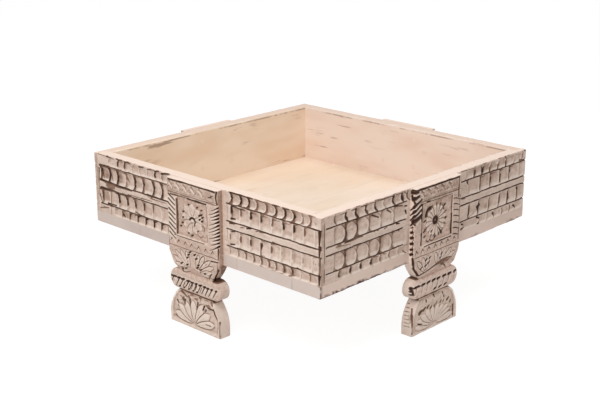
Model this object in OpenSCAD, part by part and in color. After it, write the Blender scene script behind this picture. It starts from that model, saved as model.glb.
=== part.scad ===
// Low square tray table with carved side boards and four carved plank legs.
// Origin: middle of the table, on the floor. +Z up, +Y to the back, +X to the right.
// Each side board and each leg is drawn once, in a frame of its own: X runs to the right
// as seen from outside, Y runs inwards from the carved face, and Z runs up.

/* [Tray] */
// Outside width of the square tray
case_w = 600; // [500:1:760]
// Thickness of the carved side boards
board_t = 26; // [20:0.5:34]
// Thickness of the corner tongue that laps over the end of the next board
tongue_t = 10; // [6:0.5:14]
// Thickness of the floor planks
floor_t = 22; // [14:0.5:30]
// Width of the narrow floor plank at the right side
filler_w = 65; // [40:1:100]

/* [Bands on the side boards] */
// Height of the short scallop row under the rim
rim_row_h = 20; // [14:0.5:28]
// Height of each of the two tall scallop rows
tall_row_h = 31; // [22:0.5:40]
// Height of the plain fillet between the tall rows
fillet_h = 15; // [8:0.5:24]
// Height of the short scallop row at the bottom
base_row_h = 16; // [12:0.5:26]
// Width of the grooves between the bands
groove_w = 1.4; // [0.8:0.1:3]
// Depth of the grooves between the bands
groove_d = 2; // [1:0.1:3]
// Distance between scallops along a row
scallop_pitch = 24; // [18:0.5:34]
// Depth of a scallop at its curved edge
scallop_d = 3; // [1.5:0.1:4]
// How far a scallop's edge bulges
scallop_bulge = 6; // [3:0.5:8]
// Plain wood between a row of scallops and the groove beside it
scallop_edge = 1.2; // [0.6:0.1:2]
// Plain wood below the lowest row
base_margin = 1; // [0.5:0.1:3]
// Plain wood between the carved rows and the side of a leg
leg_margin = 8; // [4:0.5:16]

/* [Legs] */
// Width of the leg's upper plate
plate_w = 135; // [110:1:160]
// Thickness of the plate where it laps over the tray
plate_t = 13; // [10:0.5:18]
// Thickness of the leg below the tray
leg_t = 24; // [20:0.5:34]
// How far the straight sides of the plate reach below the tray
plate_lap = -2; // [-8:0.5:8]
// Height of the curved cup below the plate
cup_h = 35; // [26:0.5:46]
// Bulge of the cup's curved side
cup_bulge = 2; // [1:0.5:4]
// Width of the two waists, above and below the roll
waist_w = 92; // [76:1:104]
// Width of the roll
roll_w = 139; // [116:1:160]
// Height of the roll
roll_h = 38; // [30:0.5:46]
// Rounding of the roll's front edges
roll_round = 6; // [3:0.5:9]
// Height of the bell-shaped foot
foot_h = 69; // [56:0.5:84]
// Width of the foot
foot_w = 137; // [116:1:156]
// Height of the foot's straight sides
foot_side_h = 20; // [10:0.5:28]
// Bulge of the foot's shoulders
foot_bulge = 4.5; // [2:0.5:7]
// Rounding of the foot's lower corners
foot_round = 3; // [1:0.5:5]
// How far the waists lie behind the leg's face
waist_d = 2.5; // [1:0.5:4]
// Height of the slopes that lead into the waists
waist_slope_h = 6; // [4:0.5:9]

/* [Carving on the legs] */
// Width of the square sunk panel
panel_w = 84; // [64:1:96]
// Height of the square sunk panel
panel_h = 74; // [56:1:84]
// Plain wood above the sunk panel
panel_top = 30; // [24:0.5:36]
// Depth of the sunk panel
panel_d = 2.5; // [1.5:0.1:3.5]
// Radius of the rosette's boss
boss_r = 8; // [5:0.5:10]
// Radius over the tips of the rosette's petals
rosette_r = 31; // [24:0.5:34]
// Number of petals
petal_n = 12; // [8:1:16]
// Greatest width of a petal
petal_w = 9; // [6:0.5:11]
// Width of a gouge cut
cut_w = 3.2; // [2:0.1:4.5]
// Depth of a gouge cut
cut_d = 1.4; // [0.8:0.1:2]
// Distance between the slanted cuts beside the panel
border_pitch = 8.5; // [6:0.5:14]
// Slant of the cuts beside the panel, from level
border_slant = 35; // [20:1:50]
// Length of the slanted cuts beside the panel
border_cut = 15; // [10:0.5:18]
// Distance between the cuts across the roll
roll_pitch = 12; // [8:0.5:18]
// Slant of the cuts across the roll, from upright
roll_slant = 20; // [8:1:32]
// Length of the cuts across the roll
roll_cut = 23.5; // [18:0.5:27]
// Width of the cuts across the roll
roll_cut_w = 4.5; // [3:0.1:6]
// Depth of the cuts across the roll
roll_cut_d = 1.8; // [1:0.1:2.4]
// Height of the middle of the leaf cuts above the roll
spray_z = 19; // [16:0.5:21]
// Distance of the first leaf cut from the middle of the cup
spray_start = 10; // [6:0.5:12]
// Distance between the leaf cuts
spray_pitch = 9; // [7:0.5:10]
// Length of the leaf cuts
spray_cut = 21; // [14:0.5:23]
// Slant of the first leaf cut, from level
spray_slant = 80; // [72:1:86]
// How much further each next leaf cut leans over
spray_lean = 12; // [6:1:14]
// Number of leaf cuts on each side
spray_n = 4; // [2:1:4]
// Side of the small triangular nicks
nick_w = 6; // [4:0.5:8]
// Distance between the nicks in a row
nick_pitch = 18; // [12:0.5:26]
// Width of the lines across the plate
line_w = 1.6; // [1:0.1:2.4]
// Distance of the lines from the sunk panel
line_gap = 3; // [2:0.5:5]
// Height of the band of nicks below the panel
nick_band_h = 21; // [14:0.5:26]
// Number of petals in the palmette on the foot
ray_n = 9; // [5:2:13]
// Greatest width of a palmette petal
ray_w = 10; // [6:0.5:13]
// Radius where the palmette's petals start
ray_start = 10; // [6:0.5:16]
// Plain border round the palmette
foot_border = 8; // [6:0.5:12]
// Sunk ground left between the palmette's petals and its border
ray_gap = 2; // [1:0.5:5]

/* [Fasteners] */
// Diameter of the leg screws
screw_dia = 4; // [3:0.5:5]
// How far the leg screws reach into the leg's plate
screw_bite = 8; // [5:0.5:9]
// Diameter of the screw heads
head_dia = 8; // [7:0.5:10]
// Height of the countersunk heads
head_h = 3; // [2:0.5:4]
// Diameter of the wooden plugs over the screws
plug_dia = 10; // [9:0.5:13]
// Thickness of the wooden plugs
plug_t = 5; // [3:0.5:6]
// Distance of the leg screws from the leg's middle
screw_x = 42; // [30:1:50]
// Distance of the upper leg screws from the rim
screw_edge = 22; // [16:1:30]
// Diameter of the corner brads and floor nails
nail_dia = 2.4; // [2:0.1:3.5]
// Length of the corner brads
brad_len = 34; // [24:1:44]
// Number of brads in each corner
brad_n = 3; // [2:1:4]
// Length of the floor nails
nail_len = 48; // [36:1:64]
// Diameter of the floor nails' heads
nail_head_dia = 6; // [4.5:0.5:8]
// Thickness of the floor nails' heads
nail_head_t = 1.2; // [0.8:0.1:2]
// How far brads and nails are sunk below the surface
nail_sink = 1.5; // [1:0.1:3]
// Distance of the two nails in a plank's end from its middle
nail_spread = 25; // [15:0.5:35]
// Wood left between the floor nails' tips and the lowest brads and screws
nail_clear = 9; // [7:0.5:14]
// Distance of the highest brad from the rim
brad_edge = 12; // [8:0.5:20]

/* [Fit] */
// Clearance round a fastener, on the radius
fit = 0.1; // [0.05:0.05:0.3]

/* [Hidden] */
$fn = 48;

half = case_w / 2;
board_h = rim_row_h + 2 * tall_row_h + fillet_h + base_row_h + 3 * groove_w + base_margin;
z_roll = foot_h;
z_cup = z_roll + roll_h;
z_plate = z_cup + cup_h;
z_floor = z_plate + plate_lap;
z_board = z_floor + floor_t;
z_rim = z_board + board_h;
plank_n = 4;
plank_w = (case_w - filler_w) / plank_n;
leg_clear = plate_w / 2 + leg_margin;
panel_z = z_rim - panel_top - panel_h / 2;
nail_reach = nail_len + nail_sink - floor_t;
screw_z = [z_board + nail_reach + nail_clear, z_rim - screw_edge];
screw_len = board_t - plug_t + screw_bite;
lip_start = 0.8;
corner_bulge = 1 - sqrt(0.5);
over = 1;

// Turns a piece drawn in its own frame to side number k, counted from the front
module on_side(k) {
    rotate([0, 0, 90 * k]) translate([0, -half, 0]) children();
}

// Copies a piece to all four sides
module on_all_sides() {
    for (k = [0 : 3]) on_side(k) children();
}

// Points between p and q on an arc that bulges to the right of the way from p to q
function arc_points(p, q, bulge, n) =
    let (d = q - p, len = norm(d), along = d / len, side = [along[1], -along[0]],
        r = (len * len / 4 + bulge * bulge) / (2 * bulge), half_angle = asin(len / 2 / r),
        mid = (p + q) / 2 + side * (bulge - r))
    [for (i = [1 : n - 1])
        let (a = half_angle * (2 * i / n - 1)) mid + r * (cos(a) * side + sin(a) * along)];

function mirrored(points) =
    concat(points, [for (i = [len(points) - 1 : -1 : 0]) [-points[i][0], points[i][1]]]);

// A straight gouge cut in the face: a cylinder laid along the cut and sunk to its depth
module gouge(length, slant, w = cut_w, d = cut_d) {
    r = (w * w / 4 + d * d) / (2 * d);
    rotate([0, -slant, 0]) translate([-length / 2, d - r, 0]) rotate([0, 90, 0])
        cylinder(h = length, r = r);
}

// The sliver of wood with a rounded edge that is left standing beside a cut of height h
module scallop_lip(h) {
    bulge = scallop_bulge - lip_start;
    r = (h * h / 4 + bulge * bulge) / (2 * bulge);
    intersection() {
        translate([scallop_bulge - r, 0]) circle(r = r);
        translate([-lip_start / 2, -h]) square([scallop_bulge + over, 2 * h]);
    }
}

// One cut of a row: a wedge, deep at its left, that ends in a rounded wall there
module scallop_cut(pitch, h) {
    run = pitch - lip_start;
    rise = over * run / scallop_d;
    difference() {
        translate([0, 0, -h / 2]) linear_extrude(height = h)
            polygon([[0, -over], [lip_start / 2, scallop_d], [run, 0], [run + rise, -over]]);
        translate([0, -2 * over, 0]) rotate([-90, 0, 0])
            linear_extrude(height = scallop_d + 4 * over) scallop_lip(h);
    }
}

// What is cut away for one row of scallops, from x0 to x1 and z0 to z1
module scallop_row(x0, x1, z0, z1) {
    n = max(1, round((x1 - x0) / scallop_pitch));
    pitch = (x1 - x0) / n;
    for (i = [0 : n - 1]) translate([x0 + i * pitch, 0, (z0 + z1) / 2]) scallop_cut(pitch, z1 - z0);
}

// The scallop rows from x0 to x1 on a board, and the grooves from g0 to g1
module carved_bands(x0, x1, g0, g1) {
    tops = [board_h, board_h - rim_row_h - groove_w, board_h - rim_row_h - 2 * groove_w - tall_row_h - fillet_h,
        board_h - rim_row_h - 3 * groove_w - 2 * tall_row_h - fillet_h];
    heights = [rim_row_h, tall_row_h, tall_row_h, base_row_h];
    for (i = [0 : 3])
        scallop_row(x0, x1, tops[i] - heights[i] + scallop_edge, tops[i] - scallop_edge);
    for (z = [tops[0] - rim_row_h, tops[1] - tall_row_h, tops[2] + groove_w, tops[2] - tall_row_h])
        translate([g0, -over, z - groove_w]) cube([g1 - g0, groove_d + over, groove_w]);
}

// Holes for the leg screws and their plugs, bored from the inside of the tray
module screw_holes() {
    for (x = [-screw_x, screw_x]) for (z = screw_z) translate([x, board_t, z - z_board]) rotate([90, 0, 0]) {
        translate([0, 0, -over]) cylinder(h = plug_t + over, r = plug_dia / 2 + fit);
        translate([0, 0, plug_t]) cylinder(h = head_h, r1 = head_dia / 2 + fit, r2 = screw_dia / 2 + fit);
        cylinder(h = board_t + over, r = screw_dia / 2 + fit);
    }
}

// Heights of the brads in a corner, above the bottom of the boards
function brad_heights() =
    let (low = nail_reach + nail_clear, high = board_h - brad_edge)
    [for (i = [0 : brad_n - 1]) low + (high - low) * i / (brad_n - 1)];

// Side board number k in its own frame, standing on z = 0
module side_board(k) {
    difference() {
        translate([-half + tongue_t, 0, 0]) cube([case_w - tongue_t, board_t, board_h]);
        // rebate behind the tongue at the right end
        translate([half - board_t, tongue_t, -over]) cube([board_t + over, board_t, board_h + 2 * over]);
        carved_bands(-half + tongue_t + scallop_edge, -leg_clear, -half, -leg_clear);
        carved_bands(leg_clear, half - scallop_edge, leg_clear, half + over);
        screw_holes();
        // brads through this board's tongue, and those of the board before it
        for (z = brad_heights()) {
            translate([half - board_t / 2, -over, z]) rotate([-90, 0, 0])
                cylinder(h = tongue_t + 2 * over, r = nail_dia / 2 + fit);
            translate([-half + tongue_t - over, board_t / 2, z]) rotate([0, 90, 0])
                cylinder(h = brad_len + nail_sink - tongue_t + over + fit, r = nail_dia / 2 + fit);
        }
        // floor nails driven up from below
        for (x = nail_places(k)) translate([x, board_t / 2, -over])
            cylinder(h = nail_reach + over + fit, r = nail_dia / 2 + fit);
    }
}

// Places of the nails in the planks' ends, along the front of the tray
function end_nails() = concat([half - filler_w / 2],
    [for (i = [0 : plank_n - 1]) for (s = [-1, 1]) -half + (i + 0.5) * plank_w + s * nail_spread]);

// Places of the floor nails along side board number k: the planks end at the front and back
function nail_places(k) = k == 0 ? end_nails() : k == 2 ? -1 * end_nails()
    : [for (i = [0 : 3]) (i - 1.5) * case_w / 4];

// Draws the children at the place of every floor nail
module at_floor_nails() {
    for (k = [0 : 3]) on_side(k) for (x = nail_places(k))
        translate([x, board_t / 2, z_floor]) children();
}

// One floor plank, running from front to back, between x0 and x1
module floor_plank(x0, x1) {
    color("antiquewhite") difference() {
        translate([x0, -half, z_floor]) cube([x1 - x0, case_w, floor_t]);
        at_floor_nails() {
            translate([0, 0, -over]) cylinder(h = floor_t + 2 * over, r = nail_dia / 2 + fit);
            translate([0, 0, -over]) cylinder(h = over + nail_sink + nail_head_t, r = nail_head_dia / 2 + fit);
        }
    }
}

// Right half of the foot's outline, drawn in by the given border
function foot_outline(border) =
    let (side = foot_w / 2 - border, r = max(foot_round - border, 0.5))
    concat([[side - r, border]], arc_points([side - r, border], [side, border + r], r * corner_bulge, 4),
        [[side, border + r], [side, foot_side_h]],
        arc_points([side, foot_side_h], [waist_w / 2 - border, foot_h - border], foot_bulge, 10),
        [[waist_w / 2 - border, foot_h - border]]);

// The leg's outline as seen from outside
module leg_outline() {
    polygon(mirrored(foot_outline(0)));
    for (s = [-1, 1]) translate([s * (roll_w - roll_h) / 2, z_roll + roll_h / 2]) circle(d = roll_h);
    translate([-(roll_w - roll_h) / 2, z_roll]) square([roll_w - roll_h, roll_h]);
    polygon(mirrored(concat([[waist_w / 2, z_cup - over], [waist_w / 2, z_cup]],
        arc_points([waist_w / 2, z_cup], [plate_w / 2, z_plate], cup_bulge, 8),
        [[plate_w / 2, z_plate], [plate_w / 2, z_rim]])));
}

// The leg's section from front to back: the lap over the tray, the waists and the rounded roll
module leg_section() {
    polygon(concat([[0, 0], [0, z_roll - waist_slope_h], [waist_d, z_roll]],
        [for (a = [15 : 15 : 90]) [waist_d * (1 - sin(a)), z_roll + roll_round * (1 - cos(a))]],
        [for (a = [90 : -15 : 0]) [waist_d * (1 - sin(a)), z_cup - roll_round * (1 - cos(a))]],
        [[0, z_cup + waist_slope_h], [0, z_rim], [plate_t, z_rim], [plate_t, z_floor], [leg_t, z_floor], [leg_t, 0]]));
}

// A pointed petal along X, from radius r0 to radius r1
module petal(r0, r1, w) {
    r = ((r1 - r0) * (r1 - r0) / 4 + w * w / 4) / w;
    translate([(r0 + r1) / 2, 0]) intersection() {
        translate([0, r - w / 2]) circle(r = r);
        translate([0, w / 2 - r]) circle(r = r);
    }
}

// The rosette that stands in the sunk panel
module rosette() {
    circle(r = boss_r);
    for (i = [0 : petal_n - 1]) rotate(360 / petal_n * (i + 0.5)) petal(boss_r - over, rosette_r, petal_w);
}

// The sunk field of the palmette on the foot, with its petals left standing
module palmette_field() {
    difference() {
        polygon(mirrored(foot_outline(foot_border)));
        translate([0, foot_border]) for (i = [0 : ray_n - 1])
            rotate(180 * (i + 0.5) / ray_n) petal(ray_start, foot_h - 2 * foot_border - ray_gap, ray_w);
    }
}

// What is carved out of the leg's face
module leg_carving() {
    column_w = (plate_w - panel_w) / 2;
    border_n = floor(panel_h / border_pitch);
    nick_n = floor((plate_w - 2 * nick_w) / nick_pitch / 2);
    // sunk panel round the rosette
    translate([0, panel_d, panel_z]) rotate([90, 0, 0]) linear_extrude(height = panel_d + over) difference() {
        square([panel_w, panel_h], center = true);
        rosette();
    }
    // slanted cuts beside the panel
    for (s = [-1, 1]) for (i = [0 : border_n - 1])
        translate([s * (panel_w / 2 + column_w / 2), 0, panel_z + (i - (border_n - 1) / 2) * border_pitch])
            gouge(border_cut, s * border_slant);
    // rows of nicks above and below the panel, between lines across the plate
    line_z = [panel_z + panel_h / 2 + line_gap, panel_z - panel_h / 2 - line_gap,
        panel_z - panel_h / 2 - line_gap - nick_band_h];
    for (z = line_z) translate([-plate_w / 2 - over, -over, z - line_w / 2])
        cube([plate_w + 2 * over, over + cut_d, line_w]);
    for (z = [(z_rim + line_z[0]) / 2, (line_z[1] + line_z[2]) / 2]) for (i = [-nick_n : nick_n])
        translate([i * nick_pitch, -over, z]) rotate([-90, 30, 0])
            cylinder(h = over + cut_d, d = nick_w, $fn = 3);
    // leaf sprays on the cup
    for (s = [-1, 1]) for (i = [0 : spray_n - 1])
        translate([s * (spray_start + i * spray_pitch), 0, z_cup + spray_z])
            gouge(spray_cut, s * (spray_slant - i * spray_lean));
    // cuts across the roll
    roll_n = floor((roll_w - roll_h) / roll_pitch / 2);
    for (i = [-roll_n : roll_n]) translate([i * roll_pitch, 0, z_roll + roll_h / 2])
        gouge(roll_cut, 90 - roll_slant, roll_cut_w, roll_cut_d);
    // palmette on the foot
    translate([0, panel_d, 0]) rotate([90, 0, 0]) linear_extrude(height = panel_d + over) palmette_field();
}

// One leg in its own frame, standing on z = 0 with its back against the tray
module leg() {
    translate([0, -plate_t, 0]) difference() {
        intersection() {
            translate([0, leg_t, 0]) rotate([90, 0, 0]) linear_extrude(height = leg_t) leg_outline();
            translate([-plate_w, 0, 0]) rotate([90, 0, 90]) linear_extrude(height = 2 * plate_w) leg_section();
        }
        leg_carving();
        for (x = [-screw_x, screw_x]) for (z = screw_z) translate([x, plate_t + over, z]) rotate([90, 0, 0])
            cylinder(h = over + plug_t + screw_len - board_t + fit, r = screw_dia / 2 + fit);
    }
}

// Places something on the axis of every leg screw, pointing outwards from the tray's inside
module at_screws() {
    on_all_sides() for (x = [-screw_x, screw_x]) for (z = screw_z)
        translate([x, board_t, z]) rotate([90, 0, 0]) children();
}

module front_board() {
    color("antiquewhite") on_side(0) translate([0, 0, z_board]) side_board(0);
}

module right_board() {
    color("antiquewhite") on_side(1) translate([0, 0, z_board]) side_board(1);
}

module back_board() {
    color("antiquewhite") on_side(2) translate([0, 0, z_board]) side_board(2);
}

module left_board() {
    color("antiquewhite") on_side(3) translate([0, 0, z_board]) side_board(3);
}

// Full floor plank number i, counted from the left
module full_plank(i) {
    floor_plank(-half + i * plank_w, -half + (i + 1) * plank_w);
}

module floor_plank_1() {
    full_plank(0);
}

module floor_plank_2() {
    full_plank(1);
}

module floor_plank_3() {
    full_plank(2);
}

module floor_plank_4() {
    full_plank(3);
}

module floor_filler() {
    floor_plank(half - filler_w, half);
}

module front_leg() {
    color("linen") on_side(0) leg();
}

module right_leg() {
    color("linen") on_side(1) leg();
}

module back_leg() {
    color("linen") on_side(2) leg();
}

module left_leg() {
    color("linen") on_side(3) leg();
}

// Countersunk wood screws that hold the legs, driven from inside the tray
module leg_screws() {
    color("silver") at_screws() {
        translate([0, 0, plug_t]) cylinder(h = head_h, r1 = head_dia / 2, r2 = screw_dia / 2);
        translate([0, 0, plug_t]) cylinder(h = screw_len, r = screw_dia / 2);
    }
}

// Wooden plugs that hide the screw heads
module screw_plugs() {
    color("wheat") at_screws() cylinder(h = plug_t, r = plug_dia / 2);
}

// Headless brads through the corner tongues
module corner_brads() {
    color("dimgray") on_all_sides() for (z = brad_heights())
        translate([half - board_t / 2, nail_sink, z_board + z]) rotate([-90, 0, 0])
            cylinder(h = brad_len, r = nail_dia / 2);
}

// Nails that hold the floor planks under the side boards
module floor_nails() {
    color("dimgray") at_floor_nails() translate([0, 0, nail_sink]) {
        cylinder(h = nail_head_t, r = nail_head_dia / 2);
        cylinder(h = nail_len, r = nail_dia / 2);
    }
}

front_board();
right_board();
back_board();
left_board();
floor_plank_1();
floor_plank_2();
floor_plank_3();
floor_plank_4();
floor_filler();
front_leg();
right_leg();
back_leg();
left_leg();
leg_screws();
screw_plugs();
corner_brads();
floor_nails();
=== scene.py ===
# Looks of a low carved tray table: carved boards and legs, floor planks and their limewashed paint.
import math

import bpy
import numpy as np
from mathutils import Matrix, Vector


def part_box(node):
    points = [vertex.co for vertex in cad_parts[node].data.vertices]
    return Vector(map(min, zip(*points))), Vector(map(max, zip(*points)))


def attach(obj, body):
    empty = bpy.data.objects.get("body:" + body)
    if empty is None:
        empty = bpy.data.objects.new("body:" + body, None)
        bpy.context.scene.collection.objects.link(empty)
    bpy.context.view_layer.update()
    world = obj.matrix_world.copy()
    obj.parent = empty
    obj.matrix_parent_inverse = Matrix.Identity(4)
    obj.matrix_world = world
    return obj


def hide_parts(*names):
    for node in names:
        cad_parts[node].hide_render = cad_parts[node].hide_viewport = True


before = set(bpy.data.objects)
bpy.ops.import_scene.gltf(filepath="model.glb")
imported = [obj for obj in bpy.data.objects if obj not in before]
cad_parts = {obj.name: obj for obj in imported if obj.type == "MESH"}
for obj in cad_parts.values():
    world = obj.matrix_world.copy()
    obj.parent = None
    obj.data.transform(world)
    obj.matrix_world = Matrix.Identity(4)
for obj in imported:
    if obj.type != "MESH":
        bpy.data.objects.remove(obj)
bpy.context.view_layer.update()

MM = 0.001
SIDES = ("front", "right", "back", "left")


def corners(node):
    """The lowest and highest corners of a CAD node, in mm."""
    return [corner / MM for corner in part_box(node)]


# Sizes from the frame, in millimetres
board_lo, board_hi = corners("front_board")
leg_lo, leg_hi = corners("front_leg")
HALF = -board_lo.y
BOARD_T = board_hi.y - board_lo.y
TONGUE_T = board_lo.x + HALF
BOARD_H = board_hi.z - board_lo.z
Z_RIM = board_hi.z
PLATE_T = -HALF - leg_lo.y
LEG_T = leg_hi.y - leg_lo.y
# Height at which the leg's plate begins to lap over the tray
Z_LAP = corners("floor_plank_1")[0].z

# How far the screw plugs stand out of the inner walls
PLUG_PROUD = 0.12
# How brown the ends of the boards are, from 0 to 1
END_SOIL = 0.65

# The leg's outline, in millimetres
PLATE_W = 135
ROLL_W = leg_hi.x - leg_lo.x
ROLL_H = 38
WAIST_W = 92
FOOT_W = 137
FOOT_SIDE_H = 20
FOOT_BULGE = 5.625
CUP_BULGE = 2.2
Z_ROLL = 69
Z_CUP = Z_ROLL + ROLL_H
Z_PLATE = Z_CUP + 35

# Bands on the boards, with their distances below the rim, and the grooves between them, in millimetres
BANDS = ((0, 20.8), (22.6, 53), (69, 99), (101, 118))
GROOVES = (21.8, 54, 68.2, 100)
# How far a cut's wall slopes across, in millimetres: steep on the front, and gentle on the right side
CUT_SLOPE = {"front": 2.4, "right": 5.5, "back": 2.4, "left": 5.5}
# How much wider the wax lies in the strongest cuts than in the weakest, in millimetres
WAX_SPREAD = {"front": 2.3, "right": 8, "back": 2.3, "left": 8}
# Where the carving of each half of a board ends, beside its leg
CLEAR_OF_LEG = PLATE_W / 2 + 8


def ease(t):
    """Goes smoothly from 0 at t = 0 to 1 at t = 1."""
    t = np.clip(t, 0, 1)
    return t * t * (3 - 2 * t)


def window(x, a, b, soft):
    """1 well between a and b and 0 outside, easing over soft inwards from both."""
    return ease((x - a) / soft) * ease((b - x) / soft)


def stroke(distance, width):
    """1 along the middle of a stroke and 0 past its edges."""
    return np.clip(1.15 - (2 * distance / width) ** 2, 0, 1)


def noise(x, y, cell, seed):
    """Smooth noise from -1 to 1, with features about as large as cell."""
    lattice = np.random.default_rng(seed).uniform(-1, 1, (64, 64))
    u, v = np.broadcast_arrays(x / cell, y / cell)
    i, j = np.floor(u).astype(int), np.floor(v).astype(int)
    s, t = ease(u - i), ease(v - j)
    i, j, i2, j2 = i % 64, j % 64, (i + 1) % 64, (j + 1) % 64
    low = lattice[i, j] * (1 - s) + lattice[i2, j] * s
    high = lattice[i, j2] * (1 - s) + lattice[i2, j2] * s
    return low * (1 - t) + high * t


def blur(a, n):
    """Box blur of a grid over n by n points, n odd."""
    for axis in (0, 1):
        pad = [(0, 0), (0, 0)]
        pad[axis] = (n // 2 + 1, n // 2)
        total = np.cumsum(np.pad(a, pad, mode="edge"), axis=axis)
        size = total.shape[axis]
        a = (np.take(total, range(n, size), axis) - np.take(total, range(size - n), axis)) / n
    return a


def arris(distance, r):
    """How far a rounded edge of radius r falls back, at a distance from the edge."""
    t = np.clip(1 - distance / r, 0, 1)
    return r * (1 - np.sqrt(1 - t * t))


def heading(angle):
    """A step of 1 across and down in a direction, in degrees from the right towards the rim."""
    return math.cos(math.radians(angle)), -math.sin(math.radians(angle))


class Relief:
    """Points x across and w down a carved face, with their depth in mm, wax and some painted shadow, brown
    soil and painted shade, and light paint and painted highlights.
    """

    def __init__(self, x, w, seed):
        self.x, self.w = np.broadcast_arrays(x, w)
        self.depth, self.dark, self.soil, self.light = np.zeros((4,) + self.x.shape)
        self.seed = seed

    def lay(self, layer, amount):
        """Raises a layer to amount wherever it is less."""
        setattr(self, layer, np.maximum(getattr(self, layer), amount))

    def cut(self, where, depth, dark):
        """Sinks the face and darkens it, as far as where says from 0 to 1."""
        self.lay("depth", where * depth)
        self.lay("dark", where * dark)

    def fill(self, where, depth, dark=0.0):
        """Brings the face back up to depth, and clears its wax, as far as where says."""
        self.depth = self.depth * (1 - where) + np.minimum(self.depth, depth) * where
        self.dark = self.dark * (1 - where) + np.minimum(self.dark, dark) * where

    def stain(self, x, w, across, down, amount):
        """A soft brown patch of a half width and a half height."""
        distance = np.hypot((self.x - x) / across, (self.w - w) / down)
        patch = amount * (1 - ease((distance - 0.4) / 0.9))
        self.lay("soil", patch)
        streaky = 0.8 + 0.5 * noise(self.x * 0.35, self.w, 3, 11)
        self.lay("dark", 0.62 * np.clip(2.5 * (patch - 0.6), 0, 1) * streaky)

    def beside(self, x0, w0, x1, w1):
        """How far each point lies along and aside of a line, and the line's length."""
        dx, dw = x1 - x0, w1 - w0
        length = math.hypot(dx, dw)
        x, w = self.x - x0, self.w - w0
        return (x * dx + w * dw) / length, (x * dw - w * dx) / length, length

    def gouge(self, x0, w0, x1, w1, width, depth, dark=1.0, taper=0.7, bow=0.0):
        """A gouge cut that narrows towards x1, w1 and bows out to its right by bow."""
        along, aside, length = self.beside(x0, w0, x1, w1)
        t = np.clip(along / length, 0, 1)
        distance = np.hypot(aside - bow * 4 * t * (1 - t), along - length * t)
        where = stroke(distance, np.maximum(width * (1 - taper * t), 1))
        self.cut(where, depth * (1 - 0.5 * taper * t), dark)

    def gouges_at(self, places, x0, w0, x1, w1, *rest):
        """The same gouge cut at several places."""
        for x, w in places:
            self.gouge(x + x0, w + w0, x + x1, w + w1, *rest)

    def painted_highlight(self, x0, w0, x1, w1, width, amount=0.9):
        """A ridge painted lightest: a painted highlight."""
        along, aside, length = self.beside(x0, w0, x1, w1)
        self.lay("light", amount * stroke(np.hypot(aside, along - np.clip(along, 0, length)), width))

    def leaf(self, x0, w0, x1, w1, width, ground, dark, full, vein):
        """A raised leaf in sunk ground, with a waxed outline and a vein; full says where it is widest."""
        along, aside, length = self.beside(x0, w0, x1, w1)
        aside = np.abs(aside)
        t = np.clip(along / length, 0.001, 0.999)
        swell = np.where(t < full, t / full, 1 + (t - full) / (1 - full))
        half = width / 2 * np.sin(0.5 * math.pi * swell) ** 0.75
        held = window(along, -0.75, length + 0.75, 1.5)
        self.cut(np.clip(1.1 - ((aside - half - 0.6) / 1.1) ** 2, 0, 1) * held, ground, dark)
        body = ease((half - aside) / 1.1 + 0.4) * held
        self.fill(body, 0.15 + 0.9 * (aside / np.maximum(half, 0.8)) ** 2)
        self.lay("light", 0.3 * body)
        middle = np.clip(1.1 - (aside / 0.9) ** 2, 0, 1) * ease((0.8 - t) / 0.2) * (half > 1.8)
        self.cut(middle * held, 0.5, vein)

    def arc(self, x, w, r, start, end, width, depth, dark):
        """A curved cut round a point, from angle start to end, in degrees from the right towards the rim."""
        turn = np.mod(np.degrees(np.arctan2(w - self.w, self.x - x)) - start, 360)
        distance = np.hypot(self.x - x, self.w - w) - r
        self.cut(window(turn, 0, end - start, 12) * stroke(distance, width), depth, dark)

    def line(self, along, off, start, stop, width, depth, dark, seed, cells):
        """A hand-cut line where off is 0; it sways and swells over the lengths in cells."""
        off = off - 0.5 * noise(along, 0, cells[0], seed)
        width = width * (1 + 0.3 * noise(along, 9, cells[1], seed))
        self.cut(stroke(off, width) * window(along, start - 1, stop + 1, 2), depth, dark)

    def level_line(self, w, x0, x1, width, depth, dark, step):
        """A hand-cut line across the face."""
        seed = self.seed + step
        off = self.w - w - 0.25 * noise(self.x, 0, 7, seed + 1)
        self.line(self.x, off, x0, x1, width, depth, dark, seed, (23, 15))

    def upright_line(self, x, w0, w1, width, depth, dark, step):
        """A hand-cut line down the face."""
        self.line(self.w, self.x - x, w0, w1, width, depth, dark, self.seed + step, (19, 11))

    def marks(self, kinds):
        """Single marks, listed by the name of the method that makes them."""
        for kind, rows in kinds.items():
            for row in rows:
                getattr(self, kind)(*row)


# Rows of scallops on half a board, from the rim down: style, bends, wax and cuts. A row's cuts bend at their
# upper and lower ends by two numbers of mm: positive ends bend to the left like a closing bracket, negative
# ones to the right. The wax reaches from the next number to the one after it, 1 being the row's top and -1
# its bottom. Styles: open runs out over the rim, full spans its row, tick has a line along its top too, and
# base fades out towards the bottom. In a hook style the bends only fill the corners of straight cuts with
# wax, and in a wedge style they round the pads' right edges, with wax between these and the next cut.
# The cuts' places across the board come last, with their strengths in percent.
FRONT_LEFT = (
    ("open", -7, -4, -0.7, 1.3, (-256, -230, -209, -185, -162, -140, -119, -98),
     (35, 90, 85, 40, 40, 35, 95, 50)),
    ("full", 10, 8, -1.3, 1.2, (-281, -255, -230, -203, -178, -152, -123, -98),
     (90, 100, 100, 60, 100, 90, 95, 90)),
    ("full", 11, 3, -0.5, 1.2, (-280, -254, -229, -203, -179, -154, -126, -100),
     (75, 35, 95, 95, 85, 55, 40, 30)),
    ("base-hook", -11, -2, -0.8, 1.2, (-243, -221, -198, -174, -150, -126, -104),
     (30, 60, 90, 100, 95, 100, 90)),
)
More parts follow.
